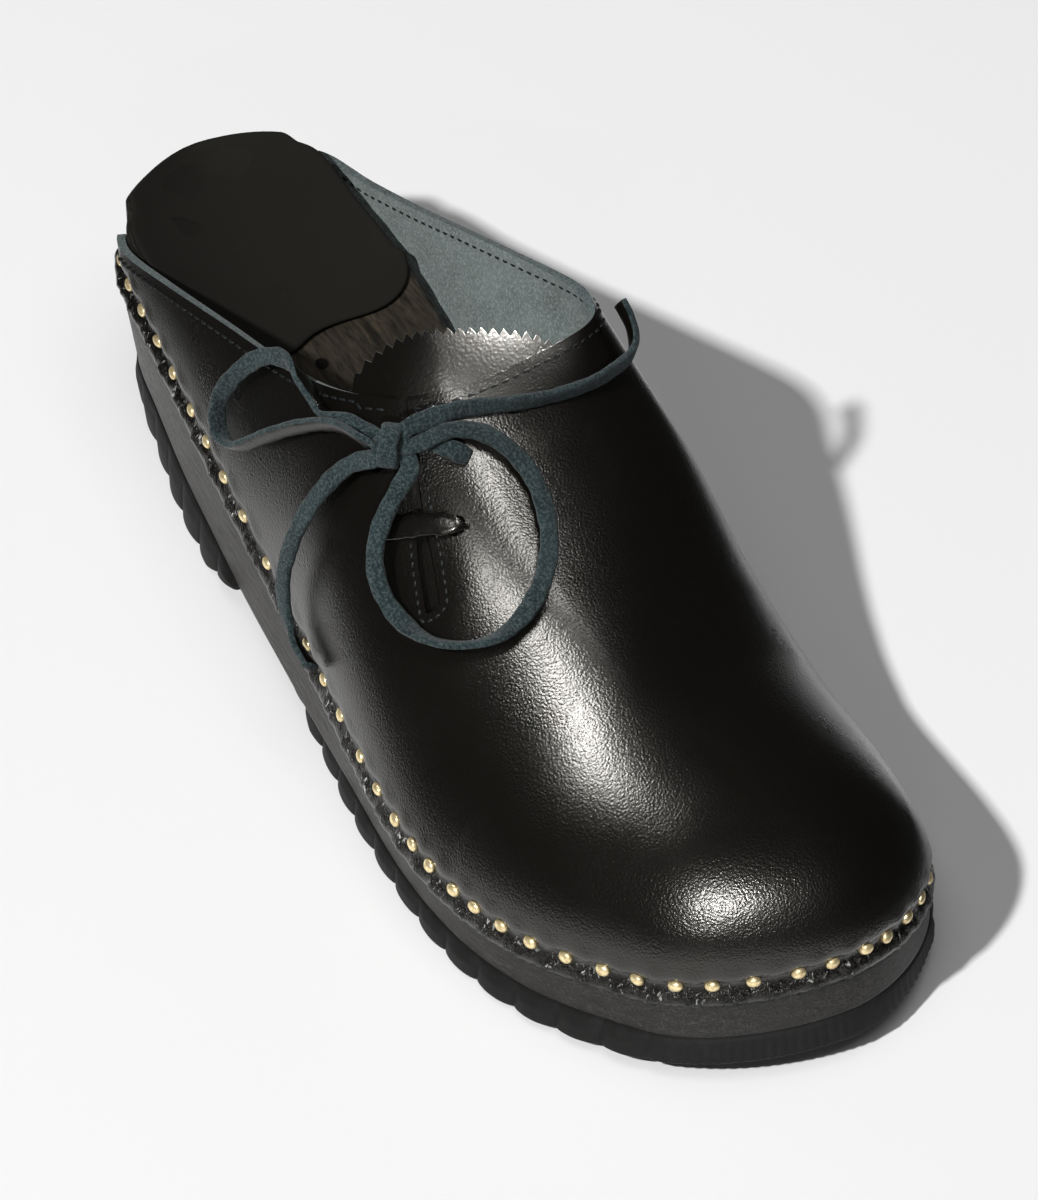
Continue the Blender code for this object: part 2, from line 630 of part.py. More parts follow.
def vamp_height(x, y):
    """The height of the vamp's outer face over a place in plan."""
    side = OUTER if y < vamp("ridge_y", x) else INNER
    share = np.array([side.share_at(x)])
    lifts = np.linspace(0, math.pi / 2, 120)
    base, ridge, full, bulge = half_sections(side, share, np.array([float(x)]), np.zeros(1))
    line = arch(*(np.repeat(value, len(lifts), axis=0) for value in (base, ridge, full, bulge)), lifts)
    distance = np.abs(line[:, 1] - ridge[0, 1])
    widest = int(np.argmax(distance))
    return float(np.interp(-abs(y - ridge[0, 1]), -distance[widest:], line[widest:, 2]))


def under_vamp(plan, depth):
    """A point below the vamp's outer face, at a depth along its normal."""
    x, y = plan
    step = 0.5
    slope_x = (vamp_height(x + step, y) - vamp_height(x - step, y)) / (2 * step)
    slope_y = (vamp_height(x, y + step) - vamp_height(x, y - step)) / (2 * step)
    normal = np.array([-slope_x, -slope_y, 1.0])
    normal /= np.linalg.norm(normal)
    return np.array([x, y, vamp_height(x, y)]) - normal * depth


def build_tongue(material):
    """The tongue: a leather sheet under the slit that shows above the throat."""
    top, along, across = slit_directions()
    rows = []
    for run in np.linspace(0, 1, 13):
        reach = TONGUE_ALONG[0] + (TONGUE_ALONG[1] - TONGUE_ALONG[0]) * run
        to_end = min(reach - TONGUE_ALONG[0], TONGUE_ALONG[1] - reach, TONGUE_CORNER)
        trim = TONGUE_CORNER - math.sqrt(TONGUE_CORNER ** 2 - (TONGUE_CORNER - to_end) ** 2)
        taper = TONGUE_TAPER * run
        places = np.linspace(TONGUE_ACROSS[0] + trim, TONGUE_ACROSS[1] - trim - taper, 12)
        rows.append([top + along * reach + across * place for place in places])
    depth = LEATHER + TONGUE_LIFT
    outer = np.array([[under_vamp(plan, depth) for plan in row] for row in rows])
    inner = np.array([[under_vamp(plan, depth + TONGUE_LEATHER) for plan in row] for row in rows])
    sections = np.concatenate([outer, inner[:, ::-1]], axis=1)
    return loft("tongue", sections, material)


def build_lace_bar(material):
    """The flat run of lace that lies aslant over the slit between the lower pair of holes."""
    top, along, across = slit_directions()
    start, end = (top + along * run + across * place for run, place in BAR_HOLES)
    square = np.array([start[1] - end[1], end[0] - start[0]]) / np.linalg.norm(end - start)
    sections = []
    for share in np.linspace(0, 1, 9):
        corners = []
        for shift, lift in ((-1, 0), (1, 0), (1, LACE_THICKNESS), (-1, LACE_THICKNESS)):
            plan = start + (end - start) * share + square * shift * LACE_WIDTH / 2
            corners.append(under_vamp(plan, -LACE_LIFT - lift))
        sections.append(corners)
    return loft("lace_bar", np.array(sections), material)


def build_cord(name, points, diameter, material):
    """A round stand-in for a stretch of lace, through its chosen points."""
    points = np.array(points, float)
    hop = np.linalg.norm(np.diff(points, axis=0), axis=1)
    knots = np.concatenate([[0], np.cumsum(hop)])
    count = max(4, int(round(knots[-1] / (CORD_POINT_EVERY * CORD_DIAMETER))) + 1)
    route = to_frame(natural_spline(knots, points, np.linspace(0, knots[-1], count)))
    curve = bpy.data.curves.new(name, "CURVE")
    curve.dimensions = "3D"
    curve.bevel_depth = diameter / 2 * MM
    curve.bevel_resolution = 2
    curve.use_fill_caps = True
    spline = curve.splines.new("POLY")
    spline.points.add(count - 1)
    for point, place in zip(spline.points, route):
        point.co = (*place, 1.0)
    return add_object(name, curve, material)


def build_bow(material):
    """The bow: knot, two loops and two ends."""
    build_cord("lace_knot", KNOT, KNOT_DIAMETER, material)
    build_cord("lace_loop_outer", OUTER_LOOP, CORD_DIAMETER, material)
    build_cord("lace_end_outer", OUTER_END, CORD_DIAMETER, material)
    build_cord("lace_loop_inner", INNER_LOOP, CORD_DIAMETER, material)
    build_cord("lace_end_inner", INNER_END, CORD_DIAMETER, material)


def main():
    """Clear the scene and build the shoe."""
    for old in list(bpy.data.objects):
        bpy.data.objects.remove(old, do_unlink=True)
    materials = {name: make_material(name) for name in FINISHES}
    build_treads(materials["rubber"])
    build_wood_sole(materials["stained_wood"])
    build_sock(materials["sock_leather"])
    build_upper(materials["leather"], build_cutter())
    build_tongue(materials["leather"])
    build_lace_bar(materials["leather"])
    build_bow(materials["lace_suede"])


main()
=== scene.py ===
"""Looks of a lace-up clog, a right shoe: black leather nailed round a wooden sole, with a thong lace.

Sizes are millimetres in the shoe's own directions: X from the back of the heel to the toe, Y towards
the wearer's left, which is the inner side of a right shoe, and Z up from the floor. The function
in_metres puts such points into the part's frame.
"""

from __future__ import annotations

import logging
import math
from dataclasses import dataclass, field
from enum import Enum
from typing import Sequence

import bmesh
import bpy
import numpy as np
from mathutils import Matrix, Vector

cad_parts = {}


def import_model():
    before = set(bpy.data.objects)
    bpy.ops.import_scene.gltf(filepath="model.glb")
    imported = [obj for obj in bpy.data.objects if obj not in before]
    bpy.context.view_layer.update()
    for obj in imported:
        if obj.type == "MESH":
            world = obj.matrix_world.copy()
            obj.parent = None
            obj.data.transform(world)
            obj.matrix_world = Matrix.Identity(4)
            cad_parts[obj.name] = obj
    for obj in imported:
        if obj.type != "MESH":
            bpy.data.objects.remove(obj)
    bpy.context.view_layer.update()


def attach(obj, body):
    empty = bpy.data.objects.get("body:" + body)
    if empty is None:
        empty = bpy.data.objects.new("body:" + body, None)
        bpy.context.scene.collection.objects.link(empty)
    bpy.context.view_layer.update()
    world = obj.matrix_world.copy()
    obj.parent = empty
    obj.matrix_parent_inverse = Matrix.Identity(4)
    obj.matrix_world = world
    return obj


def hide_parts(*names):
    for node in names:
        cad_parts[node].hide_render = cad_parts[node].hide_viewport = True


Array = np.ndarray
Object = bpy.types.Object
Material = bpy.types.Material
Socket = bpy.types.NodeSocket
Pair = tuple[float, float]
Triple = tuple[float, float, float]

log = logging.getLogger("clog")

MM = 0.001
ORIGIN = np.array([136.4, 0.8, 0.0])
GAP = 0.3
LEATHER = 2.0
JOIN_DISTANCE = 2e-6
CUT_EDGE_DEGREES = 66.0
NUDGE = 0.01
QUARTER = math.pi / 2


class Side(Enum):
    """The two sides of the shoe: away from the other foot, and towards it."""

    OUTER = "outer"
    INNER = "inner"


def in_metres(points: Array) -> Array:
    """Shoe millimetres as metres in the part's frame."""
    return (np.asarray(points, float) - ORIGIN) * MM


def unit(vectors: Array) -> Array:
    """Vectors scaled to length 1."""
    return vectors / np.maximum(np.linalg.norm(vectors, axis=-1, keepdims=True), 1e-12)


def smooth_step(low: float, high: float, value: Array) -> Array:
    """0 at low, 1 at high and the cubic 3t^2 - 2t^3 between; low may be above high."""
    t = np.clip((np.asarray(value, float) - low) / (high - low), 0, 1)
    return t * t * (3 - 2 * t)


def walked(points: Array) -> Array:
    """How far along a polyline each of its corners lies."""
    return np.concatenate([[0], np.cumsum(np.linalg.norm(np.diff(points, axis=0), axis=1))])


def read_along(at: Array, reach: Array, rows: Array) -> Array:
    """Rows of numbers that belong to the walks in reach, read by straight lines at other walks."""
    return np.stack([np.interp(at, reach, column) for column in rows.T], axis=-1)


def natural_spline(knots: Array, values: Array, at: Array) -> Array:
    """Read a natural cubic spline, whose second derivative is continuous and zero at both ends.

    Args:
        knots: rising places of the given values.
        values: numbers, or rows of numbers, at the knots.
        at: places to read.

    Returns:
        One value or row for each place.
    """
    knots, values, at = (np.asarray(given, float) for given in (knots, values, at))
    count = len(knots)
    step = np.diff(knots)
    system = np.eye(count)
    right = np.zeros_like(values)
    for i in range(1, count - 1):
        system[i, i - 1:i + 2] = step[i - 1], 2 * (step[i - 1] + step[i]), step[i]
        right[i] = 6 * ((values[i + 1] - values[i]) / step[i] - (values[i] - values[i - 1]) / step[i - 1])
    bend = np.linalg.solve(system, right)
    cell = np.clip(np.searchsorted(knots, at, side="right") - 1, 0, count - 2)
    wide = step[cell]
    below = (knots[cell + 1] - at) / wide
    above = 1 - below
    if values.ndim > 1:
        wide, below, above = wide[..., None], below[..., None], above[..., None]
    curve = (below ** 3 - below) * bend[cell] + (above ** 3 - above) * bend[cell + 1]
    return below * values[cell] + above * values[cell + 1] + curve * wide ** 2 / 6


def along_path(points: Array, count: int) -> Array:
    """A natural spline through points, read at equal steps of the chord length.

    Args:
        points: rows of coordinates, in order.
        count: how many points to return.

    Returns:
        Rows of coordinates from the first point to the last.
    """
    points = np.asarray(points, float)
    knots = walked(points)
    return natural_spline(knots, points, np.linspace(0, knots[-1], count))


def even_steps(points: Array, pitch: float, look: float = 0.4) -> tuple[Array, Array]:
    """Points and directions at equal steps along a polyline.

    Args:
        points: the polyline's corners.
        pitch: the distance between steps; it is stretched to fit the length.
        look: how far ahead and behind a direction is read.

    Returns:
        The points and the unit directions there.
    """
    reach = walked(points)
    count = max(2, round(reach[-1] / pitch))
    at = (np.arange(count) + 0.5) / count * reach[-1]
    middle, ahead, behind = (read_along(at + step, reach, points) for step in (0, look, -look))
    return middle, unit(ahead - behind)


def grid_faces(rows: int, count: int, first: int = 0, around: bool = False, flip: bool = False) -> Array:
    """Quads of a grid of points, row by row.

    Args:
        rows: number of rows.
        count: points in a row.
        first: index of the grid's first point.
        around: whether each row is a closed ring.
        flip: whether to turn the faces over.

    Returns:
        An array of four point numbers for each quad.
    """
    row = np.arange(rows - 1)[:, None] * count
    here = np.arange(count if around else count - 1)
    there = (here + 1) % count
    quads = np.stack([row + here, row + there, row + there + count, row + here + count], axis=-1)
    quads = quads.reshape(-1, 4) + first
    return quads[:, ::-1] if flip else quads


def cap_faces(count: int, first: int = 0) -> Array:
    """Quads across a ring of an even number of points, from one half of it to the other.

    Args:
        count: points in the ring.
        first: index of the ring's first point.

    Returns:
        An array of four point numbers for each quad.
    """
    low = np.arange(count // 2 - 1)
    high = count - 1 - low
    return np.stack([low, low + 1, high - 1, high], axis=-1) + first


def add_piece(name: str, points: Array, faces: Sequence, materials: Sequence[Material],
              face_slots: Array | None = None, marks: dict[str, Array] | None = None,
              outward: bool = False) -> Object:
    """Make a mesh piece with doubled points joined and smooth shading.

    Args:
        name: the piece's name.
        points: shoe millimetres.
        faces: lists of point numbers.
        materials: the piece's material slots.
        face_slots: a slot number for each face, or None for the first slot.
        marks: named numbers, one for each point, that the materials read.
        outward: whether to turn the faces of a closed piece outwards.

    Returns:
        The new object, at the origin.
    """
    mesh = bpy.data.meshes.new(name)
    mesh.from_pydata(in_metres(points).tolist(), [], [tuple(face) for face in np.asarray(faces).tolist()])
    if face_slots is not None:
        mesh.polygons.foreach_set("material_index", np.asarray(face_slots, np.int32))
    for mark, numbers in (marks or {}).items():
        layer = mesh.attributes.new(mark, "FLOAT", "POINT")
        layer.data.foreach_set("value", np.asarray(numbers, np.float32))
    work = bmesh.new()
    work.from_mesh(mesh)
    bmesh.ops.remove_doubles(work, verts=work.verts, dist=JOIN_DISTANCE)
    bmesh.ops.dissolve_degenerate(work, edges=work.edges, dist=JOIN_DISTANCE)
    if outward:
        bmesh.ops.recalc_face_normals(work, faces=work.faces)
    work.to_mesh(mesh)
    work.free()
    mesh.shade_smooth()
    for material in materials:
        mesh.materials.append(material)
    piece = bpy.data.objects.new(name, mesh)
    bpy.context.scene.collection.objects.link(piece)
    return piece


def add_rings(name: str, points: Array, finish: Material, **marks: Array) -> Object:
    """Make one mesh piece of closed bodies that are stacks of rings.

    Args:
        name: the piece's name.
        points: shoe millimetres, by body, ring and place in the ring.
        finish: the piece's material.
        marks: named numbers, one for each point, that the material reads.

    Returns:
        The new object, at the origin.
    """
    bodies, rows, count, _ = points.shape
    faces = [grid_faces(rows, count, body * rows * count, around=True) for body in range(bodies)]
    return add_piece(name, points.reshape(-1, 3), np.concatenate(faces), [finish], marks=marks, outward=True)


def apply_modifiers(piece: Object) -> None:
    """Put the result of a piece's modifiers into its mesh.

    Args:
        piece: the piece, which loses its modifiers.
    """
    settled = bpy.data.meshes.new_from_object(piece.evaluated_get(bpy.context.evaluated_depsgraph_get()))
    piece.modifiers.clear()
    piece.data = settled


def add_wall(piece: Object, thickness: float, edge_round: float) -> None:
    """Give an outer face a wall inwards, with the second slot inside and the third on a rounded edge.

    Args:
        piece: an open mesh with three material slots.
        thickness: the wall in millimetres.
        edge_round: the width of the rounding on the cut edge in millimetres.
    """
    wall = piece.modifiers.new("wall", "SOLIDIFY")
    wall.thickness = thickness * MM
    wall.offset = -1.0
    wall.use_even_offset = True
    wall.material_offset = 1
    wall.material_offset_rim = 2
    edge = piece.modifiers.new("cut edge", "BEVEL")
    edge.width = edge_round * MM
    edge.segments = 2
    edge.limit_method = "ANGLE"
    edge.angle_limit = math.radians(CUT_EDGE_DEGREES)
    edge.material = 2


class ShaderTree:
    """A material's nodes, with short calls to add and join them. Patterns are sized in millimetres."""

    def __init__(self, name: str) -> None:
        """Start a material with its main shader and Object coordinates, which are in metres.

        Args:
            name: the material's name.
        """
        self.material = bpy.data.materials.new(name)
        self.material.use_nodes = True
        self.nodes = self.material.node_tree.nodes
        self.links = self.material.node_tree.links
        self.shader = self.nodes["Principled BSDF"]
        self.place = self.add("ShaderNodeTexCoord").outputs["Object"]

    def add(self, kind: str, **settings: object) -> bpy.types.Node:
        """Add a node and set its properties.

        Args:
            kind: the node's type.
            settings: properties by name.

        Returns:
            The node.
        """
        node = self.nodes.new(kind)
        for name, value in settings.items():
            setattr(node, name, value)
        return node

    def feed(self, socket: Socket, value: object) -> None:
        """Join a socket to another, or set its number or colour.

        Args:
            socket: the input.
            value: an output, a number, a vector or a colour of three numbers.
        """
        if isinstance(value, bpy.types.NodeSocket):
            self.links.new(value, socket)
        elif isinstance(value, (tuple, list)) and len(value) == 3 and socket.type == "RGBA":
            socket.default_value = (*value, 1.0)
        else:
            socket.default_value = value

    def set(self, **values: object) -> None:
        """Feed the main shader's sockets, named with _ for a space."""
        for name, value in values.items():
            self.feed(self.shader.inputs[name.replace("_", " ")], value)

    def scaled(self, per_mm: Sequence[float]) -> Socket:
        """Object coordinates times so many cells for each millimetre along X, Y and Z.

        Args:
            per_mm: cells for each millimetre along X, Y and Z.

        Returns:
            The scaled coordinates.
        """
        node = self.add("ShaderNodeMapping")
        self.feed(node.inputs["Vector"], self.place)
        node.inputs["Scale"].default_value = [value / MM for value in per_mm]
        return node.outputs["Vector"]

    def noise(self, per_mm: Sequence[float] | float, detail: float = 2.0, rough: float = 0.5,
              twist: float = 0.0) -> Socket:
        """Fractal noise from 0 to 1, with its cells for each millimetre along X, Y and Z.

        Args:
            per_mm: cells for each millimetre, alike or along X, Y and Z.
            detail: how many finer layers.
            rough: the share that each finer layer keeps.
            twist: how far the pattern is bent.

        Returns:
            The noise.
        """
        cells = (per_mm,) * 3 if isinstance(per_mm, (int, float)) else per_mm
        node = self.add("ShaderNodeTexNoise")
        self.feed(node.inputs["Vector"], self.scaled(cells))
        for name, value in (("Scale", 1.0), ("Detail", detail), ("Roughness", rough), ("Distortion", twist)):
            node.inputs[name].default_value = value
        return node.outputs["Fac"]

    def cells(self, per_mm: float) -> Socket:
        """Distance pattern of pebble-like cells, so many for each millimetre.

        Args:
            per_mm: cells for each millimetre.

        Returns:
            The distance from the middle of a cell.
        """
        node = self.add("ShaderNodeTexVoronoi", feature="SMOOTH_F1")
        self.feed(node.inputs["Vector"], self.scaled((per_mm,) * 3))
        node.inputs["Scale"].default_value = 1.0
        return node.outputs["Distance"]

    def mark(self, name: str) -> Socket:
        """A number that the piece's points carry."""
        return self.add("ShaderNodeAttribute", attribute_name=name).outputs["Fac"]

    def vector(self, operation: str, first: Socket, second: Sequence[float]) -> bpy.types.NodeOutputs:
        """The outputs of one sum of a vector and a fixed vector.

        Args:
            operation: which sum.
            first: the vector.
            second: the fixed vector.

        Returns:
            The outputs by name.
        """
        node = self.add("ShaderNodeVectorMath", operation=operation)
        self.feed(node.inputs[0], first)
        node.inputs[1].default_value = second
        return node.outputs

    def math(self, operation: str, first: object, second: object) -> Socket:
        """One sum of two numbers or sockets.

        Args:
            operation: which sum.
            first: a number or socket.
            second: another.

        Returns:
            The result.
        """
        node = self.add("ShaderNodeMath", operation=operation)
        self.feed(node.inputs[0], first)
        self.feed(node.inputs[1], second)
        return node.outputs[0]

    def times(self, first: object, second: object) -> Socket:
        """The product of two numbers or sockets."""
        return self.math("MULTIPLY", first, second)

    def plus(self, first: object, second: object) -> Socket:
        """The total of two numbers or sockets."""
        return self.math("ADD", first, second)

    def span(self, value: Socket, low: float, high: float, to_low: float = 0.0,
             to_high: float = 1.0) -> Socket:
        """A number carried from one range to another, and held at its ends.

        Args:
            value: the number.
            low: start of its range.
            high: end of its range.
            to_low: what low becomes.
            to_high: what high becomes.

        Returns:
            The carried number.
        """
        node = self.add("ShaderNodeMapRange")
        self.feed(node.inputs["Value"], value)
        for name, number in (("From Min", low), ("From Max", high), ("To Min", to_low), ("To Max", to_high)):
            node.inputs[name].default_value = number
        return node.outputs["Result"]

    def blend(self, share: Socket, first: object, second: object) -> Socket:
        """A colour between two, by a share from 0 to 1.

        Args:
            share: 0 for the first colour, 1 for the second.
            first: a colour or socket.
            second: another.

        Returns:
            The colour.
        """
        node = self.add("ShaderNodeMix", data_type="RGBA")
        self.feed(node.inputs[0], share)
        self.feed(node.inputs[6], first)
        self.feed(node.inputs[7], second)
        return node.outputs[2]

    def relief(self, height: Socket, depth: float, under: Socket | None = None) -> Socket:
        """A normal that follows a height from 0 to 1 over a depth in millimetres.

        Args:
            height: the height.
            depth: what a height of 1 stands for.
            under: a normal to build on, or None.

        Returns:
            The normal.
        """
        node = self.add("ShaderNodeBump")
        node.inputs["Strength"].default_value = 1.0
        node.inputs["Distance"].default_value = depth * MM
        self.feed(node.inputs["Height"], height)
        if under is not None:
            self.feed(node.inputs["Normal"], under)
        return node.outputs["Normal"]


@dataclass(frozen=True)
class GrainLeather:
    """Smooth dyed leather with a fine pebbled grain, a waxed shine and painted highlight glints where it is
    nailed.
    """

    name: str
    colour: Triple = (0.0034, 0.0030, 0.0023)
    worn: Triple = (0.009, 0.0083, 0.0072)
    raw: Triple = (0.014, 0.017, 0.017)
    # the colour of the painted highlight glints on the nailed strip
    painted_glint: Triple = (0.40, 0.40, 0.38)
    roughness: float = 0.285
    pebbles: float = 2.0
    depth: float = 0.078
    wax: float = 0.15
    gloss: float = 0.5

    def make(self) -> Material:
        """Build the material: pebbles and pores in the relief, cloudy gloss, faint rubs, puckers and painted
        highlight glints by mark.

        Returns:
            The leather.
        """
        tree = ShaderTree(self.name)
        cloud = tree.noise(0.045, detail=3.0)
        pebble = tree.cells(self.pebbles)
        pore = tree.noise(2.6, detail=3.0, rough=0.6)
        gather = tree.mark("gather")
        fibre = tree.noise((0.9, 0.9, 0.42), detail=3.0, rough=0.65, twist=0.6)
        rubs = tree.span(tree.noise(0.16, detail=5.0, rough=0.7), 0.60, 0.78)
        grain = tree.math("SUBTRACT", tree.times(pore, 0.5), pebble)
        normal = tree.relief(grain, self.depth)
        normal = tree.relief(tree.times(fibre, gather), 0.9, normal)
        shine = tree.span(cloud, 0.3, 0.7, self.roughness - 0.02, self.roughness + 0.03)
        shine = tree.plus(shine, tree.times(rubs, 0.03))
        worn = tree.plus(tree.times(rubs, 0.30), tree.times(gather, 0.10))
        # painted highlight: pale specks on the gathered strip by the nails stand in for glints of light on
        # the puckers
        painted_glints = tree.times(tree.span(fibre, 0.60, 0.67), tree.span(gather, 0.40, 0.9))
        colour = tree.blend(painted_glints, tree.blend(worn, self.colour, self.worn), self.painted_glint)
        colour = tree.blend(tree.mark("raw"), colour, self.raw)
        tree.set(Base_Color=colour, Roughness=shine, Normal=normal, Coat_Weight=self.wax, Coat_Roughness=0.22,
                 Coat_Normal=normal, Specular_IOR_Level=tree.span(gather, 0, 1, self.gloss, 0.3 * self.gloss),
                 Specular_Tint=(1.0, 0.97, 0.90))
        return tree.material


@dataclass(frozen=True)
class Suede:
    """The flesh side of leather: short nap in a cool grey-green, with paler and darker fibres."""

    name: str
    colour: Triple
    dark: Triple
    pale: Triple
    depth: float = 0.32
    lower_edge_dark: Triple = (0.010, 0.012, 0.012)

    def make(self) -> Material:
        """Build the material: clouds and speckle in the colour, darker near the lower edge by mark, a soft
        nap in the relief.

        Returns:
            The suede.
        """
        tree = ShaderTree(self.name)
        cloud = tree.span(tree.noise(0.10, detail=4.0, rough=0.6), 0.32, 0.68)
        speck = tree.span(tree.noise(1.5, detail=4.0, rough=0.75), 0.46, 0.62)
        nap = tree.noise((1.9, 1.9, 1.4), detail=5.0, rough=0.75)
        colour = tree.blend(cloud, self.dark, self.colour)
        colour = tree.blend(tree.times(speck, 0.75), colour, self.pale)
        # darker towards the upper's lower edge, where the raw mark is set
        colour = tree.blend(tree.mark("raw"), colour, self.lower_edge_dark)
        tree.set(Base_Color=colour, Roughness=0.93, Normal=tree.relief(nap, self.depth),
                 Specular_IOR_Level=0.08, Sheen_Weight=0.12, Sheen_Roughness=0.5)
        return tree.material


@dataclass(frozen=True)
class StainedWood:
    """Wood stained nearly black on the sides, with a browner, redder footbed and a small peg hole dented in
    the relief and darkened with painted shade.
    """

    name: str
    side_dark: Triple = (0.0094, 0.0087, 0.0076)
    side_pale: Triple = (0.086, 0.078, 0.067)
    bed_dark: Triple = (0.0110, 0.0100, 0.0080)
    bed_red: Triple = (0.046, 0.037, 0.027)
    gloss: float = 0.30
    # painted shade inside the peg hole
    painted_hole_shade: Triple = (0.004, 0.003, 0.003)
    hole: Pair = (69.0, -4.0)
    hole_radius: float = 1.2
    hole_edge: float = 0.4

    def make(self) -> Material:
        """Build the material: long streaks and pores along the sole, the footbed's colours by mark and
        painted shade in the peg hole.

        Returns:
            The wood.
        """
        tree = ShaderTree(self.name)
        streak = tree.span(tree.noise((0.035, 0.55, 0.75), detail=5.0, rough=0.62, twist=0.4), 0.34, 0.70)
        pore = tree.span(tree.noise((0.10, 2.2, 2.6), detail=3.0, rough=0.6), 0.45, 0.75)
        bed = tree.mark("bed")
        side = tree.blend(tree.times(streak, pore), self.side_dark, self.side_pale)
        top = tree.blend(tree.times(streak, tree.span(pore, 0, 1, 1.0, 0.35)), self.bed_dark,
                         self.bed_red)
        colour = tree.blend(bed, side, top)
        plan = tree.vector("MULTIPLY", tree.place, (1, 1, 0))["Vector"]
        away = tree.vector("DISTANCE", plan, in_metres((*self.hole, 0.0)).tolist())["Value"]
        outside = self.hole_radius + self.hole_edge
        hole = tree.times(tree.span(away, self.hole_radius * MM, outside * MM, 1.0, 0.0), bed)
        normal = tree.relief(tree.plus(streak, tree.times(pore, -0.8)), 0.11)
        normal = tree.relief(tree.times(hole, -1.0), 1.2, normal)
        gloss = tree.plus(tree.span(pore, 0, 1, 0.42, 0.60), tree.times(bed, 0.10))
        # the peg hole is darkened with painted shade
        tree.set(Base_Color=tree.blend(hole, colour, self.painted_hole_shade), Roughness=gloss, Normal=normal,
                 Specular_IOR_Level=self.gloss)
        return tree.material


@dataclass(frozen=True)
class Rubber:
    """Matt black sole rubber with a fine moulded skin and dusty high spots."""

    name: str
    colour: Triple = (0.0065, 0.0065, 0.0062)
    dusty: Triple = (0.018, 0.0175, 0.017)
    gloss: float = 0.2

    def make(self) -> Material:
        """Build the material: dust in clouds, a fine skin in the relief.

        Returns:
            The rubber.
        """
        tree = ShaderTree(self.name)
        dust = tree.span(tree.noise(0.22, detail=5.0, rough=0.7), 0.5, 0.8, 0.0, 0.6)
        skin = tree.noise(2.4, detail=3.0, rough=0.6)
        tree.set(Base_Color=tree.blend(dust, self.colour, self.dusty),
                 Roughness=tree.span(skin, 0, 1, 0.60, 0.78), Normal=tree.relief(skin, 0.09),
                 Specular_IOR_Level=self.gloss)
        return tree.material


@dataclass(frozen=True)
class Thread:
    """Waxed black sewing thread with a twist."""

    name: str
    colour: Triple = (0.011, 0.013, 0.0135)

    def make(self) -> Material:
        """Build the material: a ropy relief and an uneven wax shine.

        Returns:
            The thread.
        """
        tree = ShaderTree(self.name)
        twist = tree.noise(2.8)
        tree.set(Base_Color=self.colour, Roughness=tree.span(twist, 0.3, 0.7, 0.40, 0.62),
                 Normal=tree.relief(twist, 0.12), Specular_IOR_Level=0.25)
        return tree.material


@dataclass(frozen=True)
class Brass:
    """Domed brass nail heads, lightly tarnished and hammered."""

    name: str
    bright: Triple = (0.95, 0.80, 0.47)
    tarnish: Triple = (0.52, 0.38, 0.18)

    def make(self) -> Material:
        """Build the material: tarnish in spots, a faintly hammered relief.

        Returns:
            The brass.
        """
        tree = ShaderTree(self.name)
        spots = tree.span(tree.noise(0.9, detail=3.0, rough=0.6), 0.40, 0.72)
        dents = tree.noise(1.1, detail=1.0)
        tree.set(Base_Color=tree.blend(spots, self.bright, self.tarnish), Metallic=0.72,
                 Roughness=tree.span(spots, 0, 1, 0.34, 0.50), Normal=tree.relief(dents, 0.10))
        return tree.material


@dataclass(frozen=True)
class Table:
    """Named columns of sizes along X, read smoothly between rows and held beyond the ends."""

    names: tuple[str, ...]
    rows: tuple[tuple[float, ...], ...]

    def column(self, name: str) -> Array:
        """One whole column."""
        return np.array(self.rows, float)[:, self.names.index(name)]

    def at(self, name: str, x: Array, straight: bool = False) -> Array:
        """A column at places along X, by a natural spline or by straight lines.

        Args:
            name: the column.
            x: the places.
            straight: whether to read it by straight lines.

        Returns:
            One number for each place.
        """
        knots = self.column(self.names[0])
        if straight:
            return np.interp(x, knots, self.column(name))
        return natural_spline(knots, self.column(name), np.clip(x, knots[0], knots[-1]))


@dataclass(frozen=True)
class NailLine:
    """One side of the line of nails, read by the distance walked in plan from the back of the heel."""

    line: Array
    out: Array
    reach: Array

    @property
    def length(self) -> float:
        """The walk from the back of the heel to the toe tip."""
        return float(self.reach[-1])

    def point(self, reach: Array) -> Array:
        """Points after the given walks."""
        return read_along(reach, self.reach, self.line)

    def normal(self, reach: Array) -> Array:
        """Plan directions out of the shoe after the given walks."""
        return unit(read_along(reach, self.reach, self.out))

    def reach_at(self, x: Array) -> Array:
        """The walk after which the side is at a given X."""
        return np.interp(x, self.line[:, 0], self.reach)


@dataclass(frozen=True)
class Sections:
    """Rows of cross sections of the upper on one side: foot on the nail line, ridge, fullness and bulge."""

    base: Array
    out: Array
    ridge: Array
    full: Array
    bulge: Array


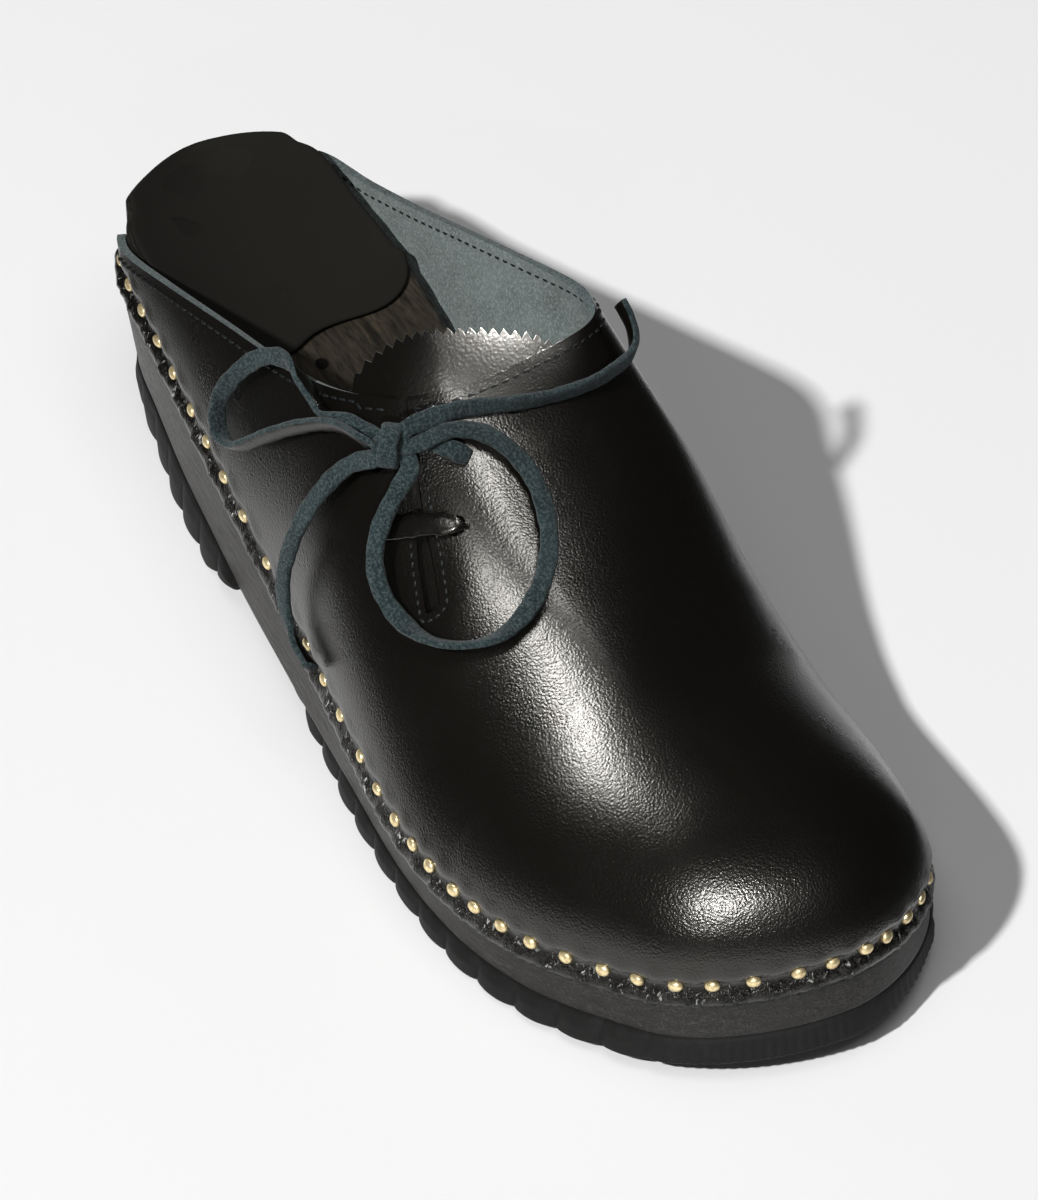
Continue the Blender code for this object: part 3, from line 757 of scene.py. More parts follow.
@dataclass
class Last:
    """The shoe's shape: nail line, sole sides, footbed and the arches of the upper."""

    edge: Table = Table(("x", "outer", "inner", "outer_z", "inner_z"), (
        (3.0, 14.0, 13.4, 44.6, 44.6), (8.0, 22.2, 21.4, 44.5, 44.5), (15.0, 28.2, 27.0, 44.2, 44.3),
        (24.0, 31.4, 29.0, 43.4, 44.0), (36.0, 33.0, 29.8, 42.2, 43.5), (60.0, 35.9, 30.5, 38.5, 40.9),
        (85.0, 38.6, 28.8, 33.3, 36.1), (110.0, 41.0, 28.4, 28.2, 28.9), (135.0, 44.0, 32.8, 24.3, 22.2),
        (160.0, 47.6, 41.7, 21.4, 18.4), (185.0, 50.1, 49.3, 19.9, 17.0), (208.0, 48.2, 51.7, 20.2, 17.4),
        (228.0, 41.6, 50.2, 21.5, 19.4), (245.0, 31.6, 46.6, 23.6, 22.7), (258.0, 19.8, 40.3, 25.6, 25.4)))
    heel_back: Triple = (-0.5, -0.5, 44.6)
    toe_tip: Triple = (269.0, 17.0, 27.3)
    sole: Table = Table(("x", "wood", "tread", "dish", "outer_flare"), (
        (-1.0, 13.5, 0.0, 4.0, -4.2), (30.0, 13.5, 0.0, 5.0, -2.6), (60.0, 12.6, 0.0, 4.6, 1.2),
        (78.0, 10.8, 0.0, 3.8, 1.8), (95.0, 9.0, 8.0, 3.2, 2.6), (117.0, 8.0, 7.0, 3.0, 3.2),
        (134.0, 7.6, 0.0, 3.0, 3.0), (160.0, 7.2, 0.0, 3.2, 1.0), (206.0, 7.2, 0.0, 3.2, 0.0),
        (225.0, 8.0, 0.9, 2.6, 0.0), (245.0, 9.9, 2.8, 2.0, 0.0), (262.0, 12.2, 5.2, 1.6, 0.0),
        (276.0, 14.0, 7.0, 1.4, 0.0)))
    vamp: Table = Table((
        "x", "ridge_y", "ridge_z", "outer_full", "inner_full", "outer_bulge", "inner_bulge"), (
        (14.0, -1.0, 107.0, 2.05, 2.15, -0.8, 0.0), (60.0, 0.5, 102.8, 1.88, 2.80, -3.2, 11.0),
        (95.0, 0.3, 98.6, 1.84, 2.90, -3.6, 16.6), (120.0, -1.9, 93.6, 1.90, 2.45, -2.0, 19.2),
        (131.0, -3.0, 87.5, 1.93, 2.25, -1.3, 19.8), (145.0, -3.9, 78.4, 1.93, 2.10, -1.1, 19.0),
        (160.0, -4.4, 71.6, 1.88, 2.00, -2.0, 14.0), (175.0, -4.2, 66.6, 1.80, 1.90, -3.0, 8.0),
        (195.0, -2.4, 61.4, 1.74, 1.78, -3.4, 2.0), (215.0, 1.4, 57.6, 1.86, 1.74, -2.0, -2.0),
        (236.0, 8.0, 55.6, 2.00, 1.72, -0.8, -4.0)))
    topline: Table = Table(("x", "outer", "inner"), (
        (14.0, 47.0, 47.4), (27.0, 52.2, 49.6), (39.0, 57.0, 53.2), (53.0, 62.0, 57.8), (70.0, 67.0, 64.0),
        (91.0, 72.3, 71.4), (105.0, 77.4, 76.4), (114.0, 81.6, 79.8), (125.0, 86.2, 83.6),
        (131.0, 88.0, 88.0)))
    throat_x: float = 131.0
    toe_full: float = 2.24
    toe_bulge: float = -0.4
    fan_x: Pair = (200.0, 234.0)
    leather_below_nails: float = 5.0
    rim_above_nails: float = 6.4
    rim_lean: float = 2.0
    rim_lean_x: Pair = (11.0, 38.0)
    rim_inset: float = 0.8
    rebate_x: Pair = (7.0, 11.0)
    toe_flare: float = 6.4
    toe_flare_inner_loss: float = 1.1
    heel_taper: float = 9.0
    heel_taper_power: float = 1.5
    waist_hollow: float = 2.6
    waist_from_x: Pair = (12.0, 40.0)
    waist_to_x: Pair = (95.0, 140.0)
    dish_full_width: float = 28.0
    height_lifts: int = 240
    slope_step: float = 0.5
    lines: dict[Side, NailLine] = field(init=False)

    def __post_init__(self) -> None:
        """Work out the two nail lines."""
        self.lines = dict(zip(Side, self._nail_lines()))

    def _nail_lines(self, samples: int = 900, wrap: int = 10) -> list[NailLine]:
        """One smooth closed curve round heel and toe, parted into two sides.

        The knots of the spline are spaced by the square root of the plan distance, and the direction out
        of the shoe is the curve's plan direction turned by a quarter.

        Args:
            samples: points on each side.
            wrap: how many knots the closed curve runs on past its start and end.

        Returns:
            The outer and the inner line.
        """
        x = self.edge.column("x")
        outer = np.column_stack([x, -self.edge.column("outer"), self.edge.column("outer_z")])
        inner = np.column_stack([x, self.edge.column("inner"), self.edge.column("inner_z")])
        ring = np.vstack([self.heel_back, outer, self.toe_tip, inner[::-1]])
        points = np.vstack([ring[-wrap:], ring, ring[:wrap + 1]])
        hop = np.sqrt(np.linalg.norm(np.diff(points[:, :2], axis=0), axis=1))
        knots = np.concatenate([[0], np.cumsum(hop)])
        toe = knots[wrap + 1 + len(outer)]
        made = []
        for heel in (knots[wrap], knots[wrap + len(ring)]):
            place = np.linspace(heel, toe, samples)
            line, ahead, behind = (natural_spline(knots, points, place + step) for step in (0, NUDGE, -NUDGE))
            out = unit(np.column_stack([ahead[:, 1] - behind[:, 1], behind[:, 0] - ahead[:, 0]]))
            made.append(NailLine(line, out, walked(line[:, :2])))
        return made

    def fan_reach(self, side: Side, count: int) -> Array:
        """Walks for rows that fan round the toe, after the last straight row and up to the toe tip.

        Args:
            side: which side.
            count: how many rows.

        Returns:
            The walks.
        """
        line = self.lines[side]
        start = float(line.reach_at(self.fan_x[0]))
        return start + (line.length - start) * np.arange(1, count + 1) / count

    def side_offset(self, base: Array, out: Array, z: Array) -> Array:
        """How far the sole's side stands off the nail line at height z.

        The share of the way down from the leather's edge scales the flares at the toe and on the outer side
        and a taper at the heel, and half a sine wave hollows the waist on the inner side.

        Args:
            base: points on the nail line.
            out: plan directions out of the shoe there.
            z: heights.

        Returns:
            Offsets out of the shoe.
        """
        top = base[:, 2] - self.leather_below_nails
        down = np.clip((top - z) / top, 0, 1)
        inner = np.clip(out[:, 1], 0, 1)
        outer = np.clip(-out[:, 1], 0, 1)
        flare = self.toe_flare * np.clip(out[:, 0], 0, 1)
        flare = flare * np.clip(1 - self.toe_flare_inner_loss * inner, 0, 1)
        flare = flare + self.sole.at("outer_flare", base[:, 0]) * outer ** 2
        taper = self.heel_taper * np.clip(-out[:, 0], 0, 1) ** self.heel_taper_power
        hollow = self.waist_hollow * inner * smooth_step(*self.waist_from_x, base[:, 0])
        hollow = hollow * (1 - smooth_step(*self.waist_to_x, base[:, 0]))
        return down * (flare - taper) - hollow * np.sin(math.pi * down)

    def rebate_depth(self, base: Array) -> Array:
        """How deep the leather is let into the wood: not at all round the back of the heel."""
        return (LEATHER + GAP) * smooth_step(*self.rebate_x, base[:, 0])

    def rim(self, side: Side, reach: Array) -> Array:
        """The footbed's edge on one side, inset from the nail line and above it.

        Args:
            side: which side.
            reach: walks along the nail line.

        Returns:
            A point for each walk.
        """
        line = self.lines[side]
        base, out = line.point(reach), line.normal(reach)
        inset = self.rebate_depth(base) + self.rim_lean * smooth_step(*self.rim_lean_x, base[:, 0])
        return shifted(base, out, -inset - self.rim_inset, base[:, 2] + self.rim_above_nails)

    def bed_height(self, x: Array, y: Array) -> Array:
        """The footbed's height: straight from rim to rim at one X, less a dish of depth times 1 - q^2.

        The depth grows with the width as a hyperbolic tangent, so the dish runs out at the back of the heel.

        Args:
            x: places along the shoe.
            y: places across, where q is -1 on the outer rim and 1 on the inner rim.

        Returns:
            Heights, in the shape of x.
        """
        read = []
        for side in Side:
            rim = self.rim(side, self.lines[side].reach)
            rim = rim[np.argsort(rim[:, 0])]
            read.append([np.interp(x, rim[:, 0], rim[:, i]) for i in (1, 2)])
        (outer_y, outer_z), (inner_y, inner_z) = read
        width = np.maximum(inner_y - outer_y, 1e-6)
        share = np.clip((y - outer_y) / width, 0, 1)
        dish = self.sole.at("dish", x) * np.tanh(width / self.dish_full_width)
        return outer_z + (inner_z - outer_z) * share - dish * (1 - (2 * share - 1) ** 2)

    def sections(self, side: Side, reach: Array, ridge_x: Array, toe_weight: Array) -> Sections:
        """Cross sections of the upper on one side.

        Args:
            side: which side.
            reach: walk along the nail line for each row.
            ridge_x: where each row meets the ridge.
            toe_weight: 0 along the shoe, rising to 1 at the toe tip, where both sides are alike.

        Returns:
            The rows' feet, ridges, fullness and bulge.
        """
        line = self.lines[side]
        ridge = np.column_stack([ridge_x, self.vamp.at("ridge_y", ridge_x), self.vamp.at("ridge_z", ridge_x)])
        full = self.vamp.at(side.value + "_full", ridge_x) * (1 - toe_weight) + self.toe_full * toe_weight
        bulge = self.vamp.at(side.value + "_bulge", ridge_x) * (1 - toe_weight) + self.toe_bulge * toe_weight
        return Sections(line.point(reach), line.normal(reach), ridge, full, bulge)

    def spine_x(self, base_x: Array) -> Array:
        """Where a section that starts at base_x meets the ridge: past the fan's start it lags behind.

        Args:
            base_x: where the sections start.

        Returns:
            Places along the ridge, which near the fan's end exponentially.
        """
        start, end = self.fan_x
        past = np.clip(base_x - start, 0, None)
        return np.where(base_x < start, base_x, start + (end - start) * (1 - np.exp(-past / (end - start))))

    @staticmethod
    def arch(rows: Sections, lift: Array) -> Array:
        """Points on sections of the upper.

        With power p = 2 / fullness, the plan goes from foot to ridge as 1 - cos(lift)^p and the height as
        sin(lift)^p, and bulge times sin(2 lift) pushes the wall out.

        Args:
            rows: the sections.
            lift: for each section, angles from 0 at the foot to a quarter turn at the ridge.

        Returns:
            An array of points, a row for each section.
        """
        power = (2 / rows.full)[:, None]
        base, ridge = rows.base[:, None], rows.ridge[:, None]
        inward = ridge[..., :2] - base[..., :2]
        plan = base[..., :2] + inward * (1 - np.clip(np.cos(lift), 0, 1) ** power)[..., None]
        plan = plan - unit(inward) * (rows.bulge[:, None] * np.sin(2 * lift))[..., None]
        height = base[..., 2] + (ridge[..., 2] - base[..., 2]) * np.sin(lift) ** power
        return np.concatenate([plan, height[..., None]], axis=-1)

    def topline_lift(self, side: Side, rows: Sections) -> Array:
        """How far up each section the leather goes: to the topline, or to the ridge past the throat.

        Args:
            side: which side.
            rows: the sections.

        Returns:
            Angles, by the arch's height formula turned round.
        """
        height = self.topline.at(side.value, rows.ridge[:, 0])
        share = np.clip((height - rows.base[:, 2]) / (rows.ridge[:, 2] - rows.base[:, 2]), 0, 1)
        lift = np.arcsin(share ** (rows.full / 2))
        return np.where(rows.ridge[:, 0] >= self.throat_x - NUDGE, QUARTER, lift)

    def vamp_height(self, x: Array, y: Array) -> Array:
        """The height of the upper's outer face over places in plan, on the part above its widest line.

        Each place reads its own section at many lifts and takes the height where the section, coming down
        from the ridge, first gets as far from it as the place is.

        Args:
            x: places along the shoe.
            y: places across.

        Returns:
            Heights in the shape of x.
        """
        x, y = np.broadcast_arrays(np.asarray(x, float), np.asarray(y, float))
        flat_x, flat_y = x.ravel(), y.ravel()
        height = np.zeros(flat_x.shape)
        lifts = np.linspace(QUARTER, 0, self.height_lifts)
        for side in Side:
            mine = (flat_y < self.vamp.at("ridge_y", flat_x)) == (side is Side.OUTER)
            if not mine.any():
                continue
            at_x = flat_x[mine]
            rows = self.sections(side, self.lines[side].reach_at(at_x), at_x, np.zeros(at_x.shape))
            line = self.arch(rows, np.broadcast_to(lifts, (len(at_x), len(lifts))))
            away = np.maximum.accumulate(np.abs(line[..., 1] - rows.ridge[:, None, 1]), axis=1)
            wanted = np.abs(flat_y[mine] - rows.ridge[:, 1])
            after = np.clip((away < wanted[:, None]).sum(axis=1), 1, len(lifts) - 1)
            pick = np.arange(len(at_x))
            before_d, after_d = away[pick, after - 1], away[pick, after]
            share = np.clip((wanted - before_d) / np.maximum(after_d - before_d, 1e-9), 0, 1)
            height[mine] = line[pick, after - 1, 2] * (1 - share) + line[pick, after, 2] * share
        return height.reshape(x.shape)

    def on_vamp(self, plan: Array, rise: Array | float = 0.0) -> tuple[Array, Array]:
        """Points over the upper's outer face and its normals.

        Args:
            plan: places in plan.
            rise: how far off the face, along its normal.

        Returns:
            The points and the unit normals.
        """
        x, y = plan[..., 0], plan[..., 1]
        step = self.slope_step
        slope_x = (self.vamp_height(x + step, y) - self.vamp_height(x - step, y)) / (2 * step)
        slope_y = (self.vamp_height(x, y + step) - self.vamp_height(x, y - step)) / (2 * step)
        normal = unit(np.stack([-slope_x, -slope_y, np.ones_like(x)], axis=-1))
        face = np.stack([x, y, self.vamp_height(x, y)], axis=-1)
        return face + normal * np.asarray(rise, float)[..., None], normal


def shifted(base: Array, out: Array, offset: Array | float, z: Array | float) -> Array:
    """Points moved out of the nail line by an offset in plan and set to a height."""
    plan = base[:, :2] + out * np.broadcast_to(offset, len(base))[:, None]
    return np.column_stack([plan, np.broadcast_to(z, len(base))])


def off_axis(points: Array, axis: Pair) -> Array:
    """Unit directions, square to X, to points from a line along the shoe at a given Y and Z."""
    return unit((points - np.array([0.0, *axis])) * np.array([0.0, 1.0, 1.0]))


@dataclass
class WoodSole:
    """The wooden sole: sides down to the treads, the ledge for the leather and the dished footbed."""

    last: Last
    rows_x: tuple[float, float, int] = (14.0, 200.0, 130)
    heel_rows: int = 26
    fan_rows: int = 64
    side_rows: int = 16
    bed_columns: int = 41
    corner: float = 0.7
    corner_ease: float = 0.3
    foot_corner: float = 0.15
    rim_drop: float = 1.2
    rim_steps: int = 6
    bare_from_x: Pair = (46.0, 54.0)

    def side(self, side: Side) -> Array:
        """Points of one side, in rows from the underside up to the footbed's rim.

        Args:
            side: which side.

        Returns:
            The points, a row for each place along the side.
        """
        last, line = self.last, self.last.lines[side]
        start, end, count = self.rows_x
        heel = np.linspace(0, float(line.reach_at(start)), self.heel_rows + 1)[:-1]
        reach = np.concatenate([heel, line.reach_at(np.linspace(start, end, count)),
                                last.fan_reach(side, self.fan_rows)])
        base, out = line.point(reach), line.normal(reach)
        ledge = base[:, 2] - last.leather_below_nails - GAP
        under = last.sole.at("wood", base[:, 0])
        rows = [shifted(base, out, last.side_offset(base, out, under) - self.foot_corner, under)]
        for share in np.linspace(0, 1, self.side_rows):
            z = under + self.foot_corner + (ledge - under - self.foot_corner - self.corner) * share
            rows.append(shifted(base, out, last.side_offset(base, out, z), z))
        deep = last.rebate_depth(base)
        turn = np.minimum(self.corner, deep)
        rows.append(shifted(base, out, -self.corner_ease * turn, ledge - self.corner_ease * self.corner))
        rows.append(shifted(base, out, -turn, ledge))
        rows.append(shifted(base, out, -deep, ledge))
        rim = last.rim(side, reach)
        for angle in np.linspace(0, QUARTER, self.rim_steps):
            move = last.rim_inset * (1 - math.sin(angle)), -self.rim_drop * (1 - math.cos(QUARTER - angle))
            rows.append(np.column_stack([rim[:, :2] + out * move[0], rim[:, 2] + move[1]]))
        return np.stack(rows, axis=1)

    def build(self, finish: Material) -> Object:
        """Loft the sides and the footbed into one closed body.

        Args:
            finish: the wood.

        Returns:
            The sole.
        """
        sides = [self.side(side) for side in Side]
        share = np.linspace(0, 1, self.bed_columns)[1:-1][None, :, None]
        bed = sides[0][:, -1:] * (1 - share) + sides[1][:, -1:] * share
        bed[..., 2] = self.last.bed_height(bed[..., 0], bed[..., 1])
        rings = np.concatenate([sides[0], bed, sides[1][:, ::-1]], axis=1)
        on_bed = np.zeros(rings.shape[:2])
        bare = slice(sides[0].shape[1], -sides[1].shape[1])
        on_bed[:, bare] = smooth_step(*self.bare_from_x, rings[:, bare, 0])
        return add_rings("wood_sole_shaped", rings[None], finish, bed=on_bed.ravel())


@dataclass
class Treads:
    """The rubber heel and forefoot treads, with scalloped lugs along their edges."""

    last: Last
    heel_end_x: float = 94.0
    forefoot_start_x: float = 118.0
    pitch: float = 11.0
    samples: int = 30
    lug_bulge: float = 1.3
    lug_fade: Pair = (0.55, 0.85)
    lug_top: Pair = (1.0, 0.55)
    serration: float = 0.22
    serration_pitch: float = 2.2
    proud: float = 0.2
    least: float = 0.9
    round: float = 0.6
    round_share: float = 0.25
    round_ease: float = 0.3
    cap_width: float = 0.5
    tuck: float = 3.0
    tuck_to_x: Pair = (130.0, 165.0)
    heights: tuple[float, ...] = (0.3, 0.45, 0.55, 0.65, 0.8, 1.0)

    def first_reach(self, side: Side, start_x: float) -> float:
        """The walk at which a tread starts: none at the back of the heel, or up to a given X."""
        at_heel = start_x <= self.last.heel_back[0]
        return 0.0 if at_heel else float(self.last.lines[side].reach_at(start_x))

    def half(self, side: Side, start_x: float, end_x: float, pitches: int) -> Array:
        """Rows of points on one side of a tread, from its underside up to the wood.

        Within each pitch a lug swells as the root of half a sine wave; round the ends of the sole, where the
        edge runs across the shoe, the lugs give way to fine serrations.

        Args:
            side: which side.
            start_x: where the tread starts.
            end_x: where it ends.
            pitches: how many lugs.

        Returns:
            The points, a row for each place along the edge.
        """
        last, line = self.last, self.last.lines[side]
        run = np.linspace(0, pitches, pitches * self.samples + 1)
        first = self.first_reach(side, start_x)
        reach = first + (float(line.reach_at(end_x)) - first) * run / pitches
        base, out = line.point(reach), line.normal(reach)
        fade = smooth_step(*self.lug_fade, np.abs(out[:, 0]))
        swell = self.lug_bulge * np.sqrt(np.clip(np.sin(math.pi * (run % 1.0)), 0, 1)) * (1 - fade)
        swell = swell + self.serration * np.abs(np.sin(math.pi * reach / self.serration_pitch)) * fade
        tuck = self.tuck if first > 0 else 0.0
        push = self.proud * (1 - fade) - tuck * (1 - smooth_step(*self.tuck_to_x, base[:, 0]))
        top = last.sole.at("wood", base[:, 0]) - GAP
        foot = np.minimum(last.sole.at("tread", base[:, 0], straight=True), top - self.least)
        soft = np.minimum(self.round, self.round_share * (top - foot))
        low = last.side_offset(base, out, foot) + push + swell
        rows = [shifted(base, out, low - soft, foot),
                shifted(base, out, low - self.round_ease * soft, foot + self.round_ease * soft),
                shifted(base, out, low, foot + soft)]
        for share in self.heights:
            z = foot + (top - foot) * share
            bulge = push + swell * smooth_step(*self.lug_top, share)
            rows.append(shifted(base, out, last.side_offset(base, out, z) + bulge, z))
        return np.stack(rows, axis=1)

    def build(self, name: str, start_x: float, end_x: float, finish: Material) -> Object:
        """Loft one tread, with a flat cap where it doesn't end in a point.

        Args:
            name: the piece's name.
            start_x: where it starts.
            end_x: where it ends.
            finish: the rubber.

        Returns:
            The tread.
        """
        end = float(self.last.lines[Side.OUTER].reach_at(end_x))
        pitches = max(1, round((end - self.first_reach(Side.OUTER, start_x)) / self.pitch))
        outer, inner = (self.half(side, start_x, end_x, pitches) for side in Side)
        rings = np.concatenate([outer, inner[:, ::-1]], axis=1)
        rows, count, _ = rings.shape
        faces = [grid_faces(rows, count, around=True)]
        for row in (0, rows - 1):
            if np.ptp(rings[row, :, 1]) > self.cap_width:
                faces.append(cap_faces(count, row * count))
        return add_piece(name, rings.reshape(-1, 3), np.concatenate(faces), [finish], outward=True)

    def build_all(self, finish: Material) -> list[Object]:
        """Both treads, heel first."""
        return [self.build("tread_heel", self.last.heel_back[0], self.heel_end_x, finish),
                self.build("tread_forefoot", self.forefoot_start_x, self.last.toe_tip[0], finish)]


@dataclass
class HeelSock:
    """The thin leather pad on the heel seat, with a wavy front edge and a rolled border."""

    last: Last
    inset: float = 0.4
    lift: float = 0.45
    thickness: float = 1.3
    centre: Pair = (30.0, -0.6)
    front_gap: float = 3.0
    edge_points: int = 60
    ring_points: int = 280
    flat_rings: int = 20
    flat_share: float = 0.94
    roll: tuple[Pair, ...] = (
        (0.965, 0.97), (0.985, 0.88), (0.996, 0.7), (1.0, 0.4), (0.99, 0.0), (0.0, 0.0))
    front: tuple[Pair, ...] = (
        (53.0, -29.3), (59.5, -25.0), (63.4, -15.0), (64.0, -9.0), (62.0, -3.0), (61.6, 3.0), (63.6, 12.0),
        (64.0, 18.0), (61.6, 23.0), (55.5, 26.2))

    def outline(self) -> Array:
        """The pad's edge in plan: just inside the rim round the heel, then across the front.

        Returns:
            Evenly spaced points of a closed ring.
        """
        sides = []
        for side, end_x in zip(Side, (self.front[0][0], self.front[-1][0])):
            line = self.last.lines[side]
            reach = np.linspace(0, float(line.reach_at(end_x - self.front_gap)), self.edge_points)
            sides.append(self.last.rim(side, reach)[:, :2] - line.normal(reach) * self.inset)
        front = along_path(np.array(self.front), self.edge_points)
        ring = np.vstack([sides[0], front, sides[1][::-1]])
        reach = walked(ring)
        return read_along(np.linspace(0, reach[-1], self.ring_points, endpoint=False), reach, ring)

    def build(self, finish: Material) -> Object:
        """A closed pad: rings from its middle to its edge over the footbed, a rolled edge and a flat back.

        Each ring is a share of the way from the middle to the edge, at a share of the thickness.

        Args:
            finish: the sock's leather.

        Returns:
            The pad.
        """
        edge = self.outline()
        middle = np.array(self.centre)
        flat = np.column_stack([np.linspace(0.0, self.flat_share, self.flat_rings), np.ones(self.flat_rings)])
        share, rise = np.vstack([flat, self.roll]).T
        plan = middle + (edge - middle) * share[:, None, None]
        z = self.last.bed_height(plan[..., 0], plan[..., 1]) + self.lift + self.thickness * rise[:, None]
        return add_rings("sock_pad", np.concatenate([plan, z[..., None]], axis=-1)[None], finish)


@dataclass(frozen=True)
class Slit:
    """The slit down the front of the upper and the two pairs of lace holes beside it, in plan."""

    top: Pair = (122.0, -13.5)
    end: Pair = (160.5, -27.7)
    half_widths: Triple = (1.05, 1.1, 1.6)
    gape: Pair = (0.66, 0.8)
    end_points: int = 25
    hole_radius: float = 2.0
    hole_points: int = 24
    holes: tuple[Pair, ...] = ((12.0, -6.6), (12.0, 6.6), (24.6, -7.0), (29.8, 7.6))
    past_topline: float = 20.0
    heights: Pair = (45.0, 110.0)

    @property
    def length(self) -> float:
        """The distance from the slit's top to the middle of its round end."""
        return math.dist(self.top, self.end)

    @property
    def forward(self) -> Array:
        """The direction in plan from the slit's top to its end."""
        return unit(np.subtract(self.end, self.top))

    def place(self, along: Array, across: Array) -> Array:
        """Places in plan from distances along the slit and across it towards the inner side.

        Args:
            along: distances from the slit's top.
            across: distances from its middle line.

        Returns:
            The places.
        """
        forward = self.forward
        left = np.array([-forward[1], forward[0]])
        middle = np.array(self.top) + np.asarray(along)[..., None] * forward
        return middle + np.asarray(across)[..., None] * left

    def half_width(self, along: Array) -> Array:
        """Half the slit's width: it is narrow down to the bar and gapes a little below it."""
        start, end = self.gape
        return np.interp(along, (0.0, start * self.length, end * self.length), self.half_widths)

    def outline(self, margin: float = 0.0, count: int = 40) -> Array:
        """The slit's edge in plan at a margin: down the outer lip, round the end and up the inner lip.

        Args:
            margin: distance outside the edge.
            count: points on each lip.

        Returns:
            The places.
        """
        down = np.linspace(-self.past_topline, self.length, count)
        wide = self.half_width(down) + margin
        turn = np.linspace(-QUARTER, QUARTER, self.end_points)[1:-1]
        radius = self.half_widths[2] + margin
        around = self.place(self.length + radius * np.sqrt(np.cos(turn)), radius * np.sin(turn))
        return np.vstack([self.place(down, -wide), around, self.place(down[::-1], wide[::-1])])

    def cutter(self, finish: Material) -> Object:
        """Upright prisms over the slit and the holes, which cut them out of the upper.

        Args:
            finish: the material of the cut faces.

        Returns:
            One object that holds all the prisms.
        """
        circle = np.linspace(0, 2 * math.pi, self.hole_points, endpoint=False)
        ring = self.hole_radius * np.column_stack([np.cos(circle), np.sin(circle)])
        outlines = [self.outline()]
        for along, across in self.holes:
            outlines.append(self.place(np.array(along), np.array(across)) + ring)
        points, faces, first = [], [], 0
        for outline in outlines:
            count = len(outline)
            points += [np.column_stack([outline, np.full(count, z)]) for z in self.heights]
            ring_a = np.arange(count) + first
            ring_b = ring_a + count
            quads = np.stack([ring_a, np.roll(ring_a, -1), np.roll(ring_b, -1), ring_b], axis=-1)
            faces += quads.tolist() + [ring_a[::-1].tolist(), ring_b.tolist()]
            first += 2 * count
        mesh = bpy.data.meshes.new("slit_cutter")
        mesh.from_pydata(in_metres(np.concatenate(points)).tolist(), [], faces)
        mesh.materials.append(finish)
        tool = bpy.data.objects.new("slit_cutter", mesh)
        bpy.context.scene.collection.objects.link(tool)
        return tool


@dataclass(frozen=True)
class Crease:
    """A soft trough, or a ridge where its depth is below 0, along a line in plan on top of the upper."""

    start: Pair
    end: Pair
    depth: float
    width: float

    def depth_at(self, plan: Array) -> Array:
        """Depth over places in plan: a bell across the line that also fades past its ends.

        Args:
            plan: the places.

        Returns:
            A depth for each place.
        """
        start, run = np.array(self.start), np.subtract(self.end, self.start)
        share = np.clip(((plan - start) @ run) / (run @ run), 0, 1)
        away = np.linalg.norm(plan - start - share[..., None] * run, axis=-1)
        return self.depth * np.exp(-(away / self.width) ** 2)


